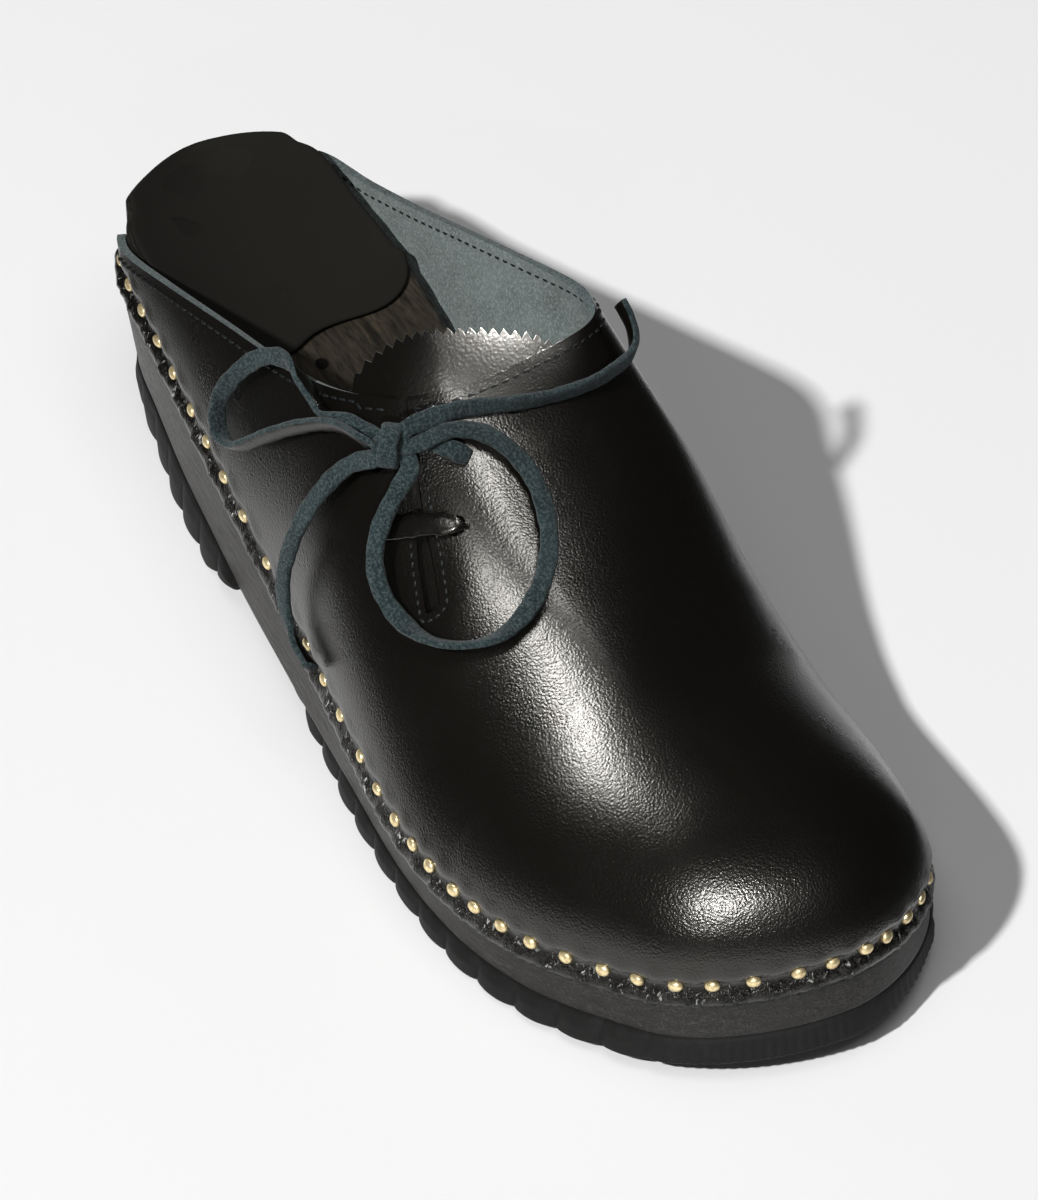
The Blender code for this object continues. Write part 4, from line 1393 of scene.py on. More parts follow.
@dataclass
class Upper:
    """The leather upper: puckered where it is nailed, cut open at collar, heel and slit."""

    last: Last
    slit: Slit
    nails: dict[Side, tuple[float, ...]]
    tail_rows: int = 84
    throat_rows: int = 40
    vamp_rows: int = 58
    fan_rows: int = 84
    below_columns: int = 16
    columns: tuple[int, int, int] = (26, 32, 16)
    column_shares: Pair = (0.16, 0.90)
    tail_x: float = 14.0
    throat_dense_x: float = 118.0
    throat_power: float = 1.8
    pinch: float = 0.75
    pinch_height: float = 0.2
    pinch_width: float = 1.9
    dimple: float = 0.5
    dimple_width: float = 2.2
    pillow: float = 0.35
    pillow_top: Pair = (7.0, 1.5)
    pillow_foot: Pair = (-1.5, 1.5)
    edge_roll: float = 1.0
    edge_roll_swing: float = 0.25
    edge_roll_heights: Pair = (-0.8, -4.8)
    wrinkle: float = 0.22
    wrinkle_swing: float = 0.65
    wrinkle_heights: Pair = (1.6, -1.0)
    gather_heights: Pair = (-5.2, -4.0)
    raw_strip: float = 0.5
    raw_solid: float = 0.6
    edge_round: float = 0.45
    sharp_degrees: float = 55.0
    axis: Pair = (-3.0, 35.0)
    creases: tuple[Crease, ...] = (
        Crease((126.0, -15.0), (160.0, -27.5), 0.5, 6.0),
        Crease((163.0, -20.0), (172.0, -29.0), -0.3, 7.0),
        Crease((139.0, -4.0), (160.0, -13.0), -0.10, 9.0),
        Crease((133.0, 8.0), (150.0, 20.0), 0.3, 6.0),
        Crease((168.0, -38.0), (188.0, -20.0), 0.2, 5.5),
        Crease((176.0, 4.0), (190.0, 30.0), 0.2, 6.0))
    stitch_x: Triple = (30.0, 95.0, 120.0)
    stitch_inset: Triple = (2.9, 2.7, 2.0)
    stitch_clear: float = 6.5
    stitch_line_step: float = 0.5
    flat_normal: float = 0.55
    crease_heights: Pair = (38.0, 52.0)
    relax_from: Pair = (182.0, 40.0)
    relax_steps: int = 24
    relax_factor: float = 0.5
    grids: dict[Side, Array] = field(default_factory=dict)

    def row_places(self) -> tuple[dict[Side, Array], Array, Array]:
        """Walks on both sides, ridge places and toe weights, dense where the topline crosses the throat.

        Returns:
            The walks by side, and the ridge places and toe weights that both sides share.
        """
        last = self.last
        before = np.linspace(1, 0, self.throat_rows) ** self.throat_power
        dense = last.throat_x - (last.throat_x - self.throat_dense_x) * before
        rows_x = np.concatenate([np.linspace(self.tail_x, self.throat_dense_x, self.tail_rows)[:-1], dense,
                                 np.linspace(last.throat_x, last.fan_x[0], self.vamp_rows)[1:]])
        reach = {}
        for side in Side:
            straight = last.lines[side].reach_at(rows_x)
            reach[side] = np.concatenate([straight, last.fan_reach(side, self.fan_rows)])
        middle_x = np.mean([last.lines[side].point(reach[side])[:, 0] for side in Side], axis=0)
        fan = np.arange(1, self.fan_rows + 1) / self.fan_rows
        weight = np.concatenate([np.zeros(len(rows_x)), 1 - (1 - fan) ** 2])
        return reach, last.spine_x(middle_x), weight

    def pucker(self, side: Side, reach: Array, height: Array) -> tuple[Array, Array]:
        """How far the nailed edge stands out, and how much it is gathered.

        A bell in height pinches the leather along the nails and a second one dents it at each nail. The
        square of a sine pillows it between two nails, the lower edge rolls out and short waves wrinkle it.

        Args:
            side: which side.
            reach: each row's walk.
            height: each point's height over the nails, in rows.

        Returns:
            Offsets out of the shoe in millimetres, and gathers from 0 to 1.
        """
        nails = np.array(self.nails[side])
        after = np.clip(np.searchsorted(nails, reach), 1, len(nails) - 1)
        share = np.clip((reach - nails[after - 1]) / (nails[after] - nails[after - 1]), 0, 1)
        between = (np.sin(math.pi * share) ** 2)[:, None]
        nearest = np.abs(reach[:, None] - nails).min(axis=1)[:, None]
        walk = reach[:, None]
        offset = -self.pinch * np.exp(-((height - self.pinch_height) / self.pinch_width) ** 2)
        wide = self.dimple_width
        offset = offset - self.dimple * np.exp(-(nearest / wide) ** 2 - (height / wide) ** 2)
        pillow = self.pillow * between * smooth_step(*self.pillow_top, height)
        offset = offset + pillow * smooth_step(*self.pillow_foot, height)
        roll = self.edge_roll * (1 - self.edge_roll_swing + self.edge_roll_swing * between)
        offset = offset + roll * smooth_step(*self.edge_roll_heights, height)
        swing = 1 - self.wrinkle_swing + self.wrinkle_swing * between
        band = smooth_step(*self.wrinkle_heights, height) * swing
        wave = np.sin(2.3 * walk + 1.3 * np.sin(0.71 * walk) + 0.35 * height)
        wave = wave + 0.6 * np.sin(3.9 * walk + 2.0 * np.sin(0.43 * walk + 1.0) - 0.5 * height)
        return offset + self.wrinkle * band * wave, band * smooth_step(*self.gather_heights, height)

    def half(self, side: Side, reach: Array, ridge_x: Array, weight: Array) -> tuple[Array, Array, Array]:
        """Rows of points on one half of the outer face, from the lower edge to topline or ridge.

        Args:
            side: which half.
            reach: each row's walk.
            ridge_x: where each row meets the ridge.
            weight: each row's toe weight.

        Returns:
            The points, how gathered the leather is at each and how far it is in the raw strip at the edge.
        """
        last = self.last
        rows = last.sections(side, reach, ridge_x, weight)
        low, high = self.column_shares
        first, middle, end = self.columns
        share = np.concatenate([np.linspace(0, low, first)[:-1], np.linspace(low, high, middle)[:-1],
                                np.linspace(high, 1, end)])
        grid = last.arch(rows, last.topline_lift(side, rows)[:, None] * share)
        below = np.linspace(-last.leather_below_nails, 0, self.below_columns)[:-1]
        foot = rows.base[:, None] + below[None, :, None] * np.array([0, 0, 1.0])
        grid = np.concatenate([foot, grid], axis=1)
        height = grid[..., 2] - rows.base[:, None, 2]
        offset, gather = self.pucker(side, reach, height)
        grid[..., :2] += rows.out[:, None] * offset[..., None]
        above = height + last.leather_below_nails
        return grid, gather, smooth_step(self.raw_strip, self.raw_solid * self.raw_strip, above)

    def soften(self, grid: Array) -> Array:
        """Press the creases into points on the upper, towards the shoe's long axis and only near the top.

        Args:
            grid: the points.

        Returns:
            The moved points.
        """
        inward = -off_axis(grid, self.axis)
        depth = sum(crease.depth_at(grid[..., :2]) for crease in self.creases)
        return grid + inward * (depth * smooth_step(*self.crease_heights, grid[..., 2]))[..., None]

    def build(self, grain: Material, suede: Material, edge: Material) -> Object:
        """Build both halves, join them past the throat, add the wall and cut slit and holes.

        Args:
            grain: the outer face.
            suede: the inner face.
            edge: the cut edges.

        Returns:
            The upper.
        """
        reach, ridge_x, weight = self.row_places()
        points, gathers, raws, faces, first = [], [], [], [], 0
        for side in Side:
            grid, gather, raw = self.half(side, reach[side], ridge_x, weight)
            grid = self.soften(grid)
            self.grids[side] = grid
            rows, count, _ = grid.shape
            faces.append(grid_faces(rows, count, first, flip=side is Side.OUTER))
            points.append(grid.reshape(-1, 3))
            gathers.append(gather.ravel())
            raws.append(raw.ravel())
            first += rows * count
        marks = {"gather": np.concatenate(gathers), "raw": np.concatenate(raws)}
        piece = add_piece("upper_leather", np.concatenate(points), np.concatenate(faces),
                          [grain, suede, edge], marks=marks)
        self.relax_toe(piece)
        add_wall(piece, LEATHER, self.edge_round)
        tool = self.slit.cutter(grain)
        cut = piece.modifiers.new("slit and holes", "BOOLEAN")
        cut.operation = "DIFFERENCE"
        cut.solver = "EXACT"
        cut.object = tool
        apply_modifiers(piece)
        bpy.data.objects.remove(tool, do_unlink=True)
        piece.data.set_sharp_from_angle(angle=math.radians(self.sharp_degrees))
        return piece

    def relax_toe(self, piece: Object) -> None:
        """Even out the top of the toe, where the rows that fan round it meet.

        Args:
            piece: the upper's outer face.
        """
        flat = np.empty(3 * len(piece.data.vertices))
        piece.data.vertices.foreach_get("co", flat)
        place = flat.reshape(-1, 3) / MM + ORIGIN
        on_top = (place[:, 0] > self.relax_from[0]) & (place[:, 2] > self.relax_from[1])
        group = piece.vertex_groups.new(name="toe_top")
        group.add(np.flatnonzero(on_top).tolist(), 1.0, "REPLACE")
        relax = piece.modifiers.new("relax", "SMOOTH")
        relax.factor = self.relax_factor
        relax.iterations = self.relax_steps
        relax.vertex_group = group.name

    def edge_line(self, side: Side, rise: float) -> Array:
        """The line of stitches inside the topline, on the outer face or a rise off it.

        Each row up to the throat is walked down from its top, and where the face lies flat enough the
        topline is moved square to itself over the vamp instead. Points that step back are left out.

        Args:
            side: which side.
            rise: distance off the outer face.

        Returns:
            Points from the tail to the throat, where the leather is tall enough for stitches.
        """
        rows = self.tail_rows + self.throat_rows - 1
        grid = self.grids[side][:rows, ::-1]
        top = grid[:, 0]
        inset = np.interp(top[:, 0], self.stitch_x, self.stitch_inset)
        hop = np.linalg.norm(np.diff(grid, axis=1), axis=-1)
        walk = np.concatenate([np.zeros((rows, 1)), np.cumsum(hop, axis=1)], axis=1)
        after = np.clip((walk < inset[:, None]).sum(axis=1), 1, walk.shape[1] - 1)
        pick = np.arange(rows)
        share = ((inset - walk[pick, after - 1]) / (walk[pick, after] - walk[pick, after - 1]))[:, None]
        line = grid[pick, after - 1] * (1 - share) + grid[pick, after] * share
        along = unit(np.gradient(line, axis=0))
        down = unit(grid[pick, after] - grid[pick, after - 1])
        out = unit(np.cross(down, along)) * (-1 if side is Side.INNER else 1)
        line = line + out * rise
        run = unit(np.gradient(top[:, :2], axis=0))
        square = np.column_stack([-run[:, 1], run[:, 0]]) * (1 if side is Side.INNER else -1)
        moved, normal = self.last.on_vamp(top[:, :2] + square * inset[:, None], rise)
        flat = (top[:, 0] > self.throat_dense_x) & (normal[:, 2] > self.flat_normal)
        line[flat] = self.soften(moved[flat])
        tall = walk[:, -1] > inset + self.stitch_clear
        line, run = line[tall], run[tall]
        made = np.cumsum((np.diff(line[:, :2], axis=0) * run[1:]).sum(axis=1))
        ahead = np.concatenate([[True], made >= np.maximum.accumulate(made)])
        return even_steps(line[ahead], self.stitch_line_step)[0]


@dataclass
class Tongue:
    """The leather tongue under the slit, with a pinked edge that shows above the throat."""

    last: Last
    slit: Slit
    along: Pair = (-9.4, 49.0)
    across: Pair = (-14.2, 40.4)
    corner: float = 7.0
    taper: float = 6.0
    tooth: float = 2.6
    tooth_depth: float = 1.7
    samples_per_tooth: int = 6
    rows: int = 46
    row_power: float = 1.35
    edge_round: float = 0.25
    thickness: float = 1.6
    lift: float = 0.8

    def build(self, grain: Material, suede: Material, edge: Material) -> Object:
        """A sheet below the vamp whose top edge is a row of triangle waves between two round corners.

        Args:
            grain: the outer face.
            suede: the inner face.
            edge: the cut edges.

        Returns:
            The tongue.
        """
        width = self.across[1] - self.across[0]
        teeth = round(width / self.tooth)
        share = np.linspace(0, 1, teeth * self.samples_per_tooth + 1)
        wave = 2 * np.abs((share * teeth) % 1.0 - 0.5) * self.tooth_depth
        to_side = np.minimum(np.minimum(share, 1 - share) * width, self.corner)
        trim = self.corner - np.sqrt(self.corner ** 2 - (self.corner - to_side) ** 2)
        start = self.along[0] + trim + wave
        end = self.along[1] - trim
        run = np.linspace(0, 1, self.rows)[:, None] ** self.row_power
        along = start + (end - start) * run
        across = self.across[0] + (width - self.taper * run) * share
        points, _ = self.last.on_vamp(self.slit.place(along, across), -LEATHER - self.lift)
        rows, count, _ = points.shape
        piece = add_piece("tongue_leather", points.reshape(-1, 3), grid_faces(rows, count, flip=True),
                          [grain, suede, edge], marks={"gather": np.zeros(rows * count)})
        add_wall(piece, self.thickness, self.edge_round)
        apply_modifiers(piece)
        return piece


@dataclass
class Nails:
    """Domed brass nail heads along the lower edge of the upper."""

    last: Last
    places: dict[Side, tuple[float, ...]]
    radius: float = 1.72
    height: float = 1.10
    foot_share: float = 0.9
    foot_height: float = -0.5
    sunk: float = 0.8
    tilt: float = 0.12
    rings: int = 5
    segments: int = 14
    seed: int = 5

    def build(self, finish: Material) -> Object:
        """All heads as one mesh: rings of half an ellipsoid and a short foot about each nail's own axis.

        Args:
            finish: the brass.

        Returns:
            The nail heads.
        """
        angle = np.linspace(0, QUARTER, self.rings + 1)
        radius = np.concatenate([self.radius * np.sin(angle), [self.radius * self.foot_share]])
        height = np.concatenate([self.height * np.cos(angle), [self.foot_height]])
        around = np.linspace(0, 2 * math.pi, self.segments, endpoint=False)
        dome = np.stack([radius[:, None] * np.cos(around), radius[:, None] * np.sin(around),
                         np.broadcast_to(height[:, None], (len(radius), self.segments))], axis=-1)
        centres, outs = [], []
        for side in Side:
            line, reach = self.last.lines[side], np.array(self.places[side])
            centres.append(line.point(reach))
            outs.append(np.column_stack([line.normal(reach), np.zeros(len(reach))]))
        centre, out = np.concatenate(centres), np.concatenate(outs)
        chance = np.random.default_rng(self.seed)
        out = unit(out + self.tilt * chance.standard_normal(out.shape))
        centre = centre - out * self.sunk
        side_way = unit(np.cross(np.array([0, 0, 1.0]), out))
        up = np.cross(out, side_way)
        basis = np.stack([side_way, up, out], axis=1)
        points = centre[:, None, None] + np.einsum("rsk,nkc->nrsc", dome, basis)
        return add_rings("nail_heads", points, finish)


@dataclass
class Stitching:
    """Rows of sewn stitches: along the topline outside and inside, and round the slit."""

    last: Last
    upper: Upper
    slit: Slit
    length: float = 2.1
    radius: float = 0.36
    pitch: float = 2.9
    slit_pitch: float = 2.1
    slit_length: float = 1.5
    slit_margin: float = 1.5
    slit_from_x: float = 128.5
    slit_clear: float = 2.6
    rises: Pair = (0.05, 0.12 - LEATHER)
    axis: Pair = (-2.0, 40.0)
    near: float = 1.5
    segments: int = 6
    profile: tuple[Pair, ...] = (
        (-1.0, 0.0), (-0.8, 0.75), (-0.35, 1.0), (0.35, 1.0), (0.8, 0.75), (1.0, 0.0))
    crown: float = 0.18
    sunk: float = 0.16

    def capsules(self, middle: Array, along: Array, up: Array, length: float) -> Array:
        """Points of small crowned spindles, one for each stitch, with rings as the profile says.

        Args:
            middle: the stitches' middles.
            along: their directions.
            up: the way off the leather.
            length: the length of each.

        Returns:
            The points by stitch, ring and place in the ring.
        """
        place, wide = np.array(self.profile).T
        wide = wide * self.radius
        around = np.linspace(0, 2 * math.pi, self.segments, endpoint=False)
        side = unit(np.cross(along, up))
        up = np.cross(side, along)
        sag = (1 - place ** 2) * self.crown - self.sunk
        ring = wide[:, None, None] * (np.cos(around)[:, None] * side[:, None, None]
                                      + np.sin(around)[:, None] * up[:, None, None])
        spine = place[:, None] * along[:, None] * length / 2 + sag[:, None] * up[:, None]
        return middle[:, None, None] + spine[:, :, None] + ring

    def topline_rows(self) -> list[tuple[Array, Array]]:
        """Each row of stitches along the topline as a line and the directions up off the leather there.

        Returns:
            The rows.
        """
        made = []
        for rise in self.rises:
            for side in Side:
                line = self.upper.edge_line(side, rise)
                clear = np.abs(self.off_slit(line)) > self.slit.half_widths[0] + self.slit_clear
                made.append((line[clear], off_axis(line[clear], self.axis) * np.sign(rise)))
        return made

    def slit_row(self) -> tuple[Array, Array]:
        """The row of stitches round the slit as a line and the leather's normals.

        Returns:
            The row.
        """
        edge = self.slit.outline(self.slit_margin)
        edge = edge[edge[:, 0] > self.slit_from_x]
        line, normal = self.last.on_vamp(edge, 0.0)
        return self.upper.soften(line), normal

    def off_slit(self, line: Array) -> Array:
        """Distance in plan from the slit's middle line.

        Args:
            line: points.

        Returns:
            A distance for each point, above 0 towards the inner side.
        """
        forward = self.slit.forward
        gap = line[:, :2] - np.array(self.slit.top)
        return gap[:, 1] * forward[0] - gap[:, 0] * forward[1]

    def build(self, finish: Material) -> Object:
        """All stitches as one mesh.

        Args:
            finish: the thread.

        Returns:
            The stitches.
        """
        blocks = []
        rows = [(*row, self.pitch, self.length) for row in self.topline_rows()]
        for line, up, pitch, length in [*rows, (*self.slit_row(), self.slit_pitch, self.slit_length)]:
            middle, along = even_steps(line, pitch)
            away = np.linalg.norm(middle[:, None] - line[None], axis=-1)
            near = away.min(axis=1) < self.near
            blocks.append(self.capsules(middle[near], along[near], up[away.argmin(axis=1)][near], length))
        return add_rings("stitches", np.concatenate(blocks), finish)


@dataclass(frozen=True)
class Stretch:
    """One stretch of the lace: its node, its route and which way its flesh side faces along the way."""

    name: str
    node: str
    route: tuple[Triple, ...]
    facing: tuple[tuple[float, float, float, float], ...]
    far_end: str
    length: float


@dataclass
class Lace:
    """The flat leather lace: bar over the slit, knot, two loops and two ends of the bow."""

    last: Last
    slit: Slit
    width: float = 4.2
    thickness: float = 1.6
    step: float = 0.8
    section: tuple[Pair, ...] = (
        (-0.84, 0.46), (-0.42, 0.5), (0.0, 0.5), (0.42, 0.5), (0.84, 0.46), (0.96, 0.30), (1.0, 0.0),
        (0.96, -0.30), (0.84, -0.48), (0.42, -0.56), (0.0, -0.60), (-0.42, -0.56), (-0.84, -0.48),
        (-0.96, -0.30), (-1.0, 0.0), (-0.96, 0.30))
    grain_faces: tuple[int, int] = (8, 12)
    knot_middle: Triple = (133.9, -22.3, 82.8)
    knot_along: Triple = (0.16, 0.92, 0.36)
    knot_up: Triple = (0.36, -0.30, 0.88)
    knot_lean: float = -0.75
    knot_radii: Pair = (4.3, 3.3)
    knot_width: float = 1.1
    knot_points: int = 44
    run_points: int = 24
    run_turn: Pair = (0.1, 0.8)
    tuck_past: float = 1.2
    tuck_points: int = 16
    tuck_turn: Pair = (0.0, 0.8)
    bar_past: float = 0.17
    bar_points: int = 44
    bar_rise: float = 1.4
    bar_dive: float = 1.7
    bar_dive_from: Pair = (0.48, 0.67)
    bar_width: float = 1.2
    bar_slims: float = 0.9
    bar_slims_from: Pair = (0.34, 0.67)
    stub: tuple[Triple, ...] = (
        (134.6, -19.4, 82.6), (136.3, -17.1, 83.2), (137.8, -15.0, 83.4), (139.9, -12.8, 83.0),
        (142.0, -10.4, 81.8), (143.2, -8.2, 79.8))
    under_loop: tuple[Triple, ...] = (
        (109.4, -27.5, 77.2), (111.4, -27.4, 76.6), (118.0, -26.3, 79.2), (125.0, -24.8, 81.2),
        (132.0, -22.8, 82.4))
    stretches: tuple[Stretch, ...] = (
        Stretch("lace_outer_loop", "lace_loop_outer", (
            (130.2, -27.3, 83.8), (124.6, -27.6, 81.8), (117.2, -28.8, 77.8), (110.6, -31.2, 72.6),
            (102.8, -34.2, 64.8), (95.4, -37.2, 56.2), (89.6, -38.8, 51.0), (85.0, -39.0, 50.4),
            (81.8, -38.0, 54.2), (81.6, -36.0, 60.2), (84.2, -32.8, 67.4), (88.8, -29.4, 74.0),
            (93.6, -27.6, 77.2), (99.4, -27.2, 78.6), (106.0, -27.6, 78.2), (111.4, -27.4, 76.6)),
            ((0.0, -0.45, 0.6, 0.2), (0.2, -0.6, 0.6, 0.1), (0.40, -0.6, 0.55, 0.2),
             (0.47, -0.3, 0.5, 0.5), (0.53, 0.5, 0.3, 0.75), (0.60, 0.75, -0.1, 0.6),
             (0.70, 0.65, -0.35, 0.65), (0.78, 0.5, -0.5, 0.7), (0.85, 0.5, -0.6, 0.3),
             (0.92, 0.5, -0.45, -0.6), (1.0, 0.5, -0.4, -0.7)),
            "object", 0.112),
        Stretch("lace_outer_end", "lace_end_outer", (
            (133.8, -26.6, 80.8), (128.6, -29.4, 75.8), (125.6, -34.8, 68.4), (124.0, -39.6, 59.2),
            (123.2, -43.2, 48.6), (124.0, -45.2, 38.4), (127.4, -45.9, 31.6), (133.4, -46.6, 29.2),
            (139.4, -47.0, 29.4)),
            ((0.0, 0.3, -0.6, 0.75), (0.25, 0.1, -0.8, 0.5), (0.5, 0.1, -0.95, 0.3), (0.75, 0.1, -0.9, 0.2),
             (0.9, 0.0, -0.7, -0.5), (1.0, 0.0, -0.6, -0.7)),
            "bare", 0.070),
        Stretch("lace_inner_loop", "lace_loop_inner", (
            (138.0, -17.2, 84.5), (138.4, -11.0, 85.4), (140.8, -5.4, 84.8), (145.4, -0.4, 81.6),
            (151.2, 2.0, 78.0), (158.4, 1.6, 74.8), (166.2, -1.4, 72.0), (173.0, -6.6, 69.6),
            (177.6, -13.6, 66.4), (178.4, -20.8, 63.0), (174.6, -27.6, 60.0), (167.6, -32.8, 57.9),
            (159.6, -35.2, 58.0), (152.8, -35.8, 60.6), (147.0, -34.2, 66.2), (143.8, -30.2, 72.4),
            (141.8, -24.8, 78.0), (140.6, -21.4, 80.6)),
            ((0.0, 0.1, -0.2, 0.97), (0.15, 0.15, -0.1, 0.98), (0.30, 0.35, 0.1, 0.93),
             (0.42, 0.25, 0.1, 0.96), (0.50, -0.1, 0.2, 0.97), (0.58, -0.55, 0.3, 0.78),
             (0.66, -0.6, 0.35, 0.72), (0.74, -0.1, -0.35, 0.93), (0.82, 0.25, -0.65, 0.72),
             (0.92, 0.35, -0.65, 0.68), (1.0, 0.45, -0.5, 0.74)),
            "object", 0.132),
        Stretch("lace_inner_end", "lace_end_inner", (
            (134.4, -16.7, 86.9), (135.6, -7.4, 87.4), (137.6, 0.8, 86.4), (139.0, 9.4, 84.4),
            (139.4, 18.6, 82.6), (138.2, 27.6, 80.6), (135.2, 35.4, 78.6), (131.6, 41.0, 77.6),
            (127.4, 43.2, 79.2), (121.6, 43.6, 82.0)),
            ((0.0, 0.5, -0.2, 0.8), (0.2, 0.9, 0.0, 0.1), (0.45, 0.93, 0.1, -0.2), (0.62, 0.9, 0.4, -0.2),
             (0.76, 0.5, 0.85, -0.2), (0.88, 0.2, 0.95, -0.2), (1.0, 0.1, 0.95, -0.3)),
            "bare", 0.073))

    def facing_at(self, stretch: Stretch, share: Array) -> Array:
        """The way a stretch's flesh side faces at shares of its length."""
        keys = np.array(stretch.facing)
        return read_along(share, keys[:, 0], keys[:, 1:])

    def ribbon(self, name: str, path: Array, flesh: Array, finishes: Sequence[Material], closed: bool = False,
               scale: Array | float = 1.0) -> Object:
        """A flat strip carried along a path.

        The section's width lies square to the path and to the way the flesh side faces, and slow waves
        make the width a little uneven.

        Args:
            name: the piece's name.
            path: the strip's middle line.
            flesh: for each point, the direction that the flesh side faces.
            finishes: the flesh and the grain material.
            closed: whether the path is a ring.
            scale: the strip's width as a share of the usual one, at each point or all along.

        Returns:
            The new strip, closed at both ends.
        """
        count = len(path)
        if closed:
            ahead = unit(np.roll(path, -1, axis=0) - np.roll(path, 1, axis=0))
        else:
            ahead = unit(np.gradient(path, axis=0))
        flesh = unit(flesh - (flesh * ahead).sum(axis=1, keepdims=True) * ahead)
        wide = np.cross(flesh, ahead)
        section = np.array(self.section)
        walk = np.arange(count) * self.step
        uneven = 1 + 0.05 * np.sin(0.55 * walk) + 0.04 * np.sin(1.3 * walk + 1.0)
        half = self.width / 2 * scale * uneven
        points = (path[:, None] + wide[:, None] * (half[:, None] * section[:, 0])[..., None]
                  + flesh[:, None] * (self.thickness * section[:, 1])[None, :, None])
        per = len(section)
        if closed:
            points = np.concatenate([points, points[:1]])
        faces = grid_faces(len(points), per, around=True)
        slot_of = np.zeros(per, int)
        slot_of[self.grain_faces[0]:self.grain_faces[1]] = 1
        slots = np.tile(slot_of, len(points) - 1)
        if not closed:
            caps = np.concatenate([cap_faces(per), cap_faces(per, (count - 1) * per)])
            faces = np.concatenate([faces, caps])
            slots = np.concatenate([slots, np.zeros(len(caps), int)])
        return add_piece(name, points.reshape(-1, 3), faces, finishes, face_slots=slots, outward=True,
                         marks={"gather": np.zeros(len(points) * per)})

    def build_stretch(self, stretch: Stretch, finishes: Sequence[Material]) -> Object:
        """One loop or end of the bow.

        Args:
            stretch: the loop or end.
            finishes: the flesh and the grain material.

        Returns:
            The strip.
        """
        route = np.array(stretch.route)
        path = along_path(route, round(walked(route)[-1] / self.step))
        flesh = self.facing_at(stretch, np.linspace(0, 1, len(path)))
        piece = self.ribbon(stretch.name, path, flesh, finishes)
        log.info("%s is %.1f mm long", stretch.name, walked(path)[-1])
        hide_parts(stretch.node)
        return piece

    def build_bar(self, finishes: Sequence[Material]) -> Object:
        """The run across the slit: a strip, grain side up, whose slim ends dive into the lower holes.

        Args:
            finishes: the flesh and the grain material.

        Returns:
            The strip.
        """
        first, second = np.array(self.slit.holes[2]), np.array(self.slit.holes[3])
        share = np.linspace(-self.bar_past, 1 + self.bar_past, self.bar_points)
        place = first + (second - first) * share[:, None]
        off_middle = np.abs(share - 0.5)
        rise = self.bar_rise - self.bar_dive * smooth_step(*self.bar_dive_from, off_middle)
        path, normal = self.last.on_vamp(self.slit.place(place[:, 0], place[:, 1]), rise)
        scale = self.bar_width - self.bar_slims * smooth_step(*self.bar_slims_from, off_middle)
        piece = self.ribbon("lace_cross_bar", path, -normal, finishes, scale=scale)
        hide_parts("lace_bar")
        return piece

    def tuck(self, stretch: Stretch, at_start: bool, finishes: Sequence[Material]) -> Object:
        """A short run that carries one end of a stretch into the knot, in line with it.

        Args:
            stretch: the loop or end.
            at_start: whether its start goes into the knot, or else its end.
            finishes: the flesh and the grain material.

        Returns:
            The strip.
        """
        route = np.array(stretch.route if at_start else stretch.route[::-1])
        ahead = unit(route[1] - route[0])
        past = route[0] + self.tuck_past * ahead
        path = along_path(np.vstack([self.knot_middle, route[0], past]), self.tuck_points)
        facing = self.facing_at(stretch, np.array([0.0 if at_start else 1.0]))
        share = smooth_step(*self.tuck_turn, np.linspace(0, 1, len(path)))[:, None]
        flesh = np.array(self.knot_up) * (1 - share) + facing * share
        return self.ribbon(stretch.name.replace("lace", "knot"), path, flesh, finishes)

    def build_knot(self, finishes: Sequence[Material]) -> list[Object]:
        """The knot: one flat turn, flesh side out, round the stretches' ends, and two short runs below.

        Args:
            finishes: the flesh and the grain material.

        Returns:
            The strips, the turn first.
        """
        along = unit(np.array(self.knot_along))
        up = np.array(self.knot_up)
        up = unit(up - (up @ along) * along)
        tipped = unit(np.cross(along, up) + self.knot_lean * along)
        turn = np.linspace(0, 2 * math.pi, self.knot_points, endpoint=False)[:, None]
        ring = np.cos(turn) * tipped * self.knot_radii[0] + np.sin(turn) * up * self.knot_radii[1]
        path = np.array(self.knot_middle) + ring
        pieces = [self.ribbon("knot_wrap", path, ring, finishes, closed=True, scale=self.knot_width)]
        pieces += [self.tuck(stretch, True, finishes) for stretch in self.stretches]
        pieces.append(self.tuck(self.stretches[2], False, finishes))
        loop_end = self.facing_at(self.stretches[0], np.array([1.0]))[0]
        runs = (("knot_stub", self.stub, up), ("knot_under_loop", self.under_loop, loop_end))
        for name, route, first in runs:
            path = along_path(np.array(route), self.run_points)
            share = smooth_step(*self.run_turn, np.linspace(0, 1, len(path)))[:, None]
            pieces.append(self.ribbon(name, path, first * (1 - share) + up * share, finishes))
        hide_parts("lace_knot")
        return pieces


@dataclass(frozen=True)
class StudioLight:
    """A light: its place, aim, width, whether it only gleams, its beam in degrees and its height by width."""

    name: str
    place: Triple
    aim: Triple
    size: float
    power: float
    gleams: bool
    spread: float = 180.0
    flatness: float = 1.0


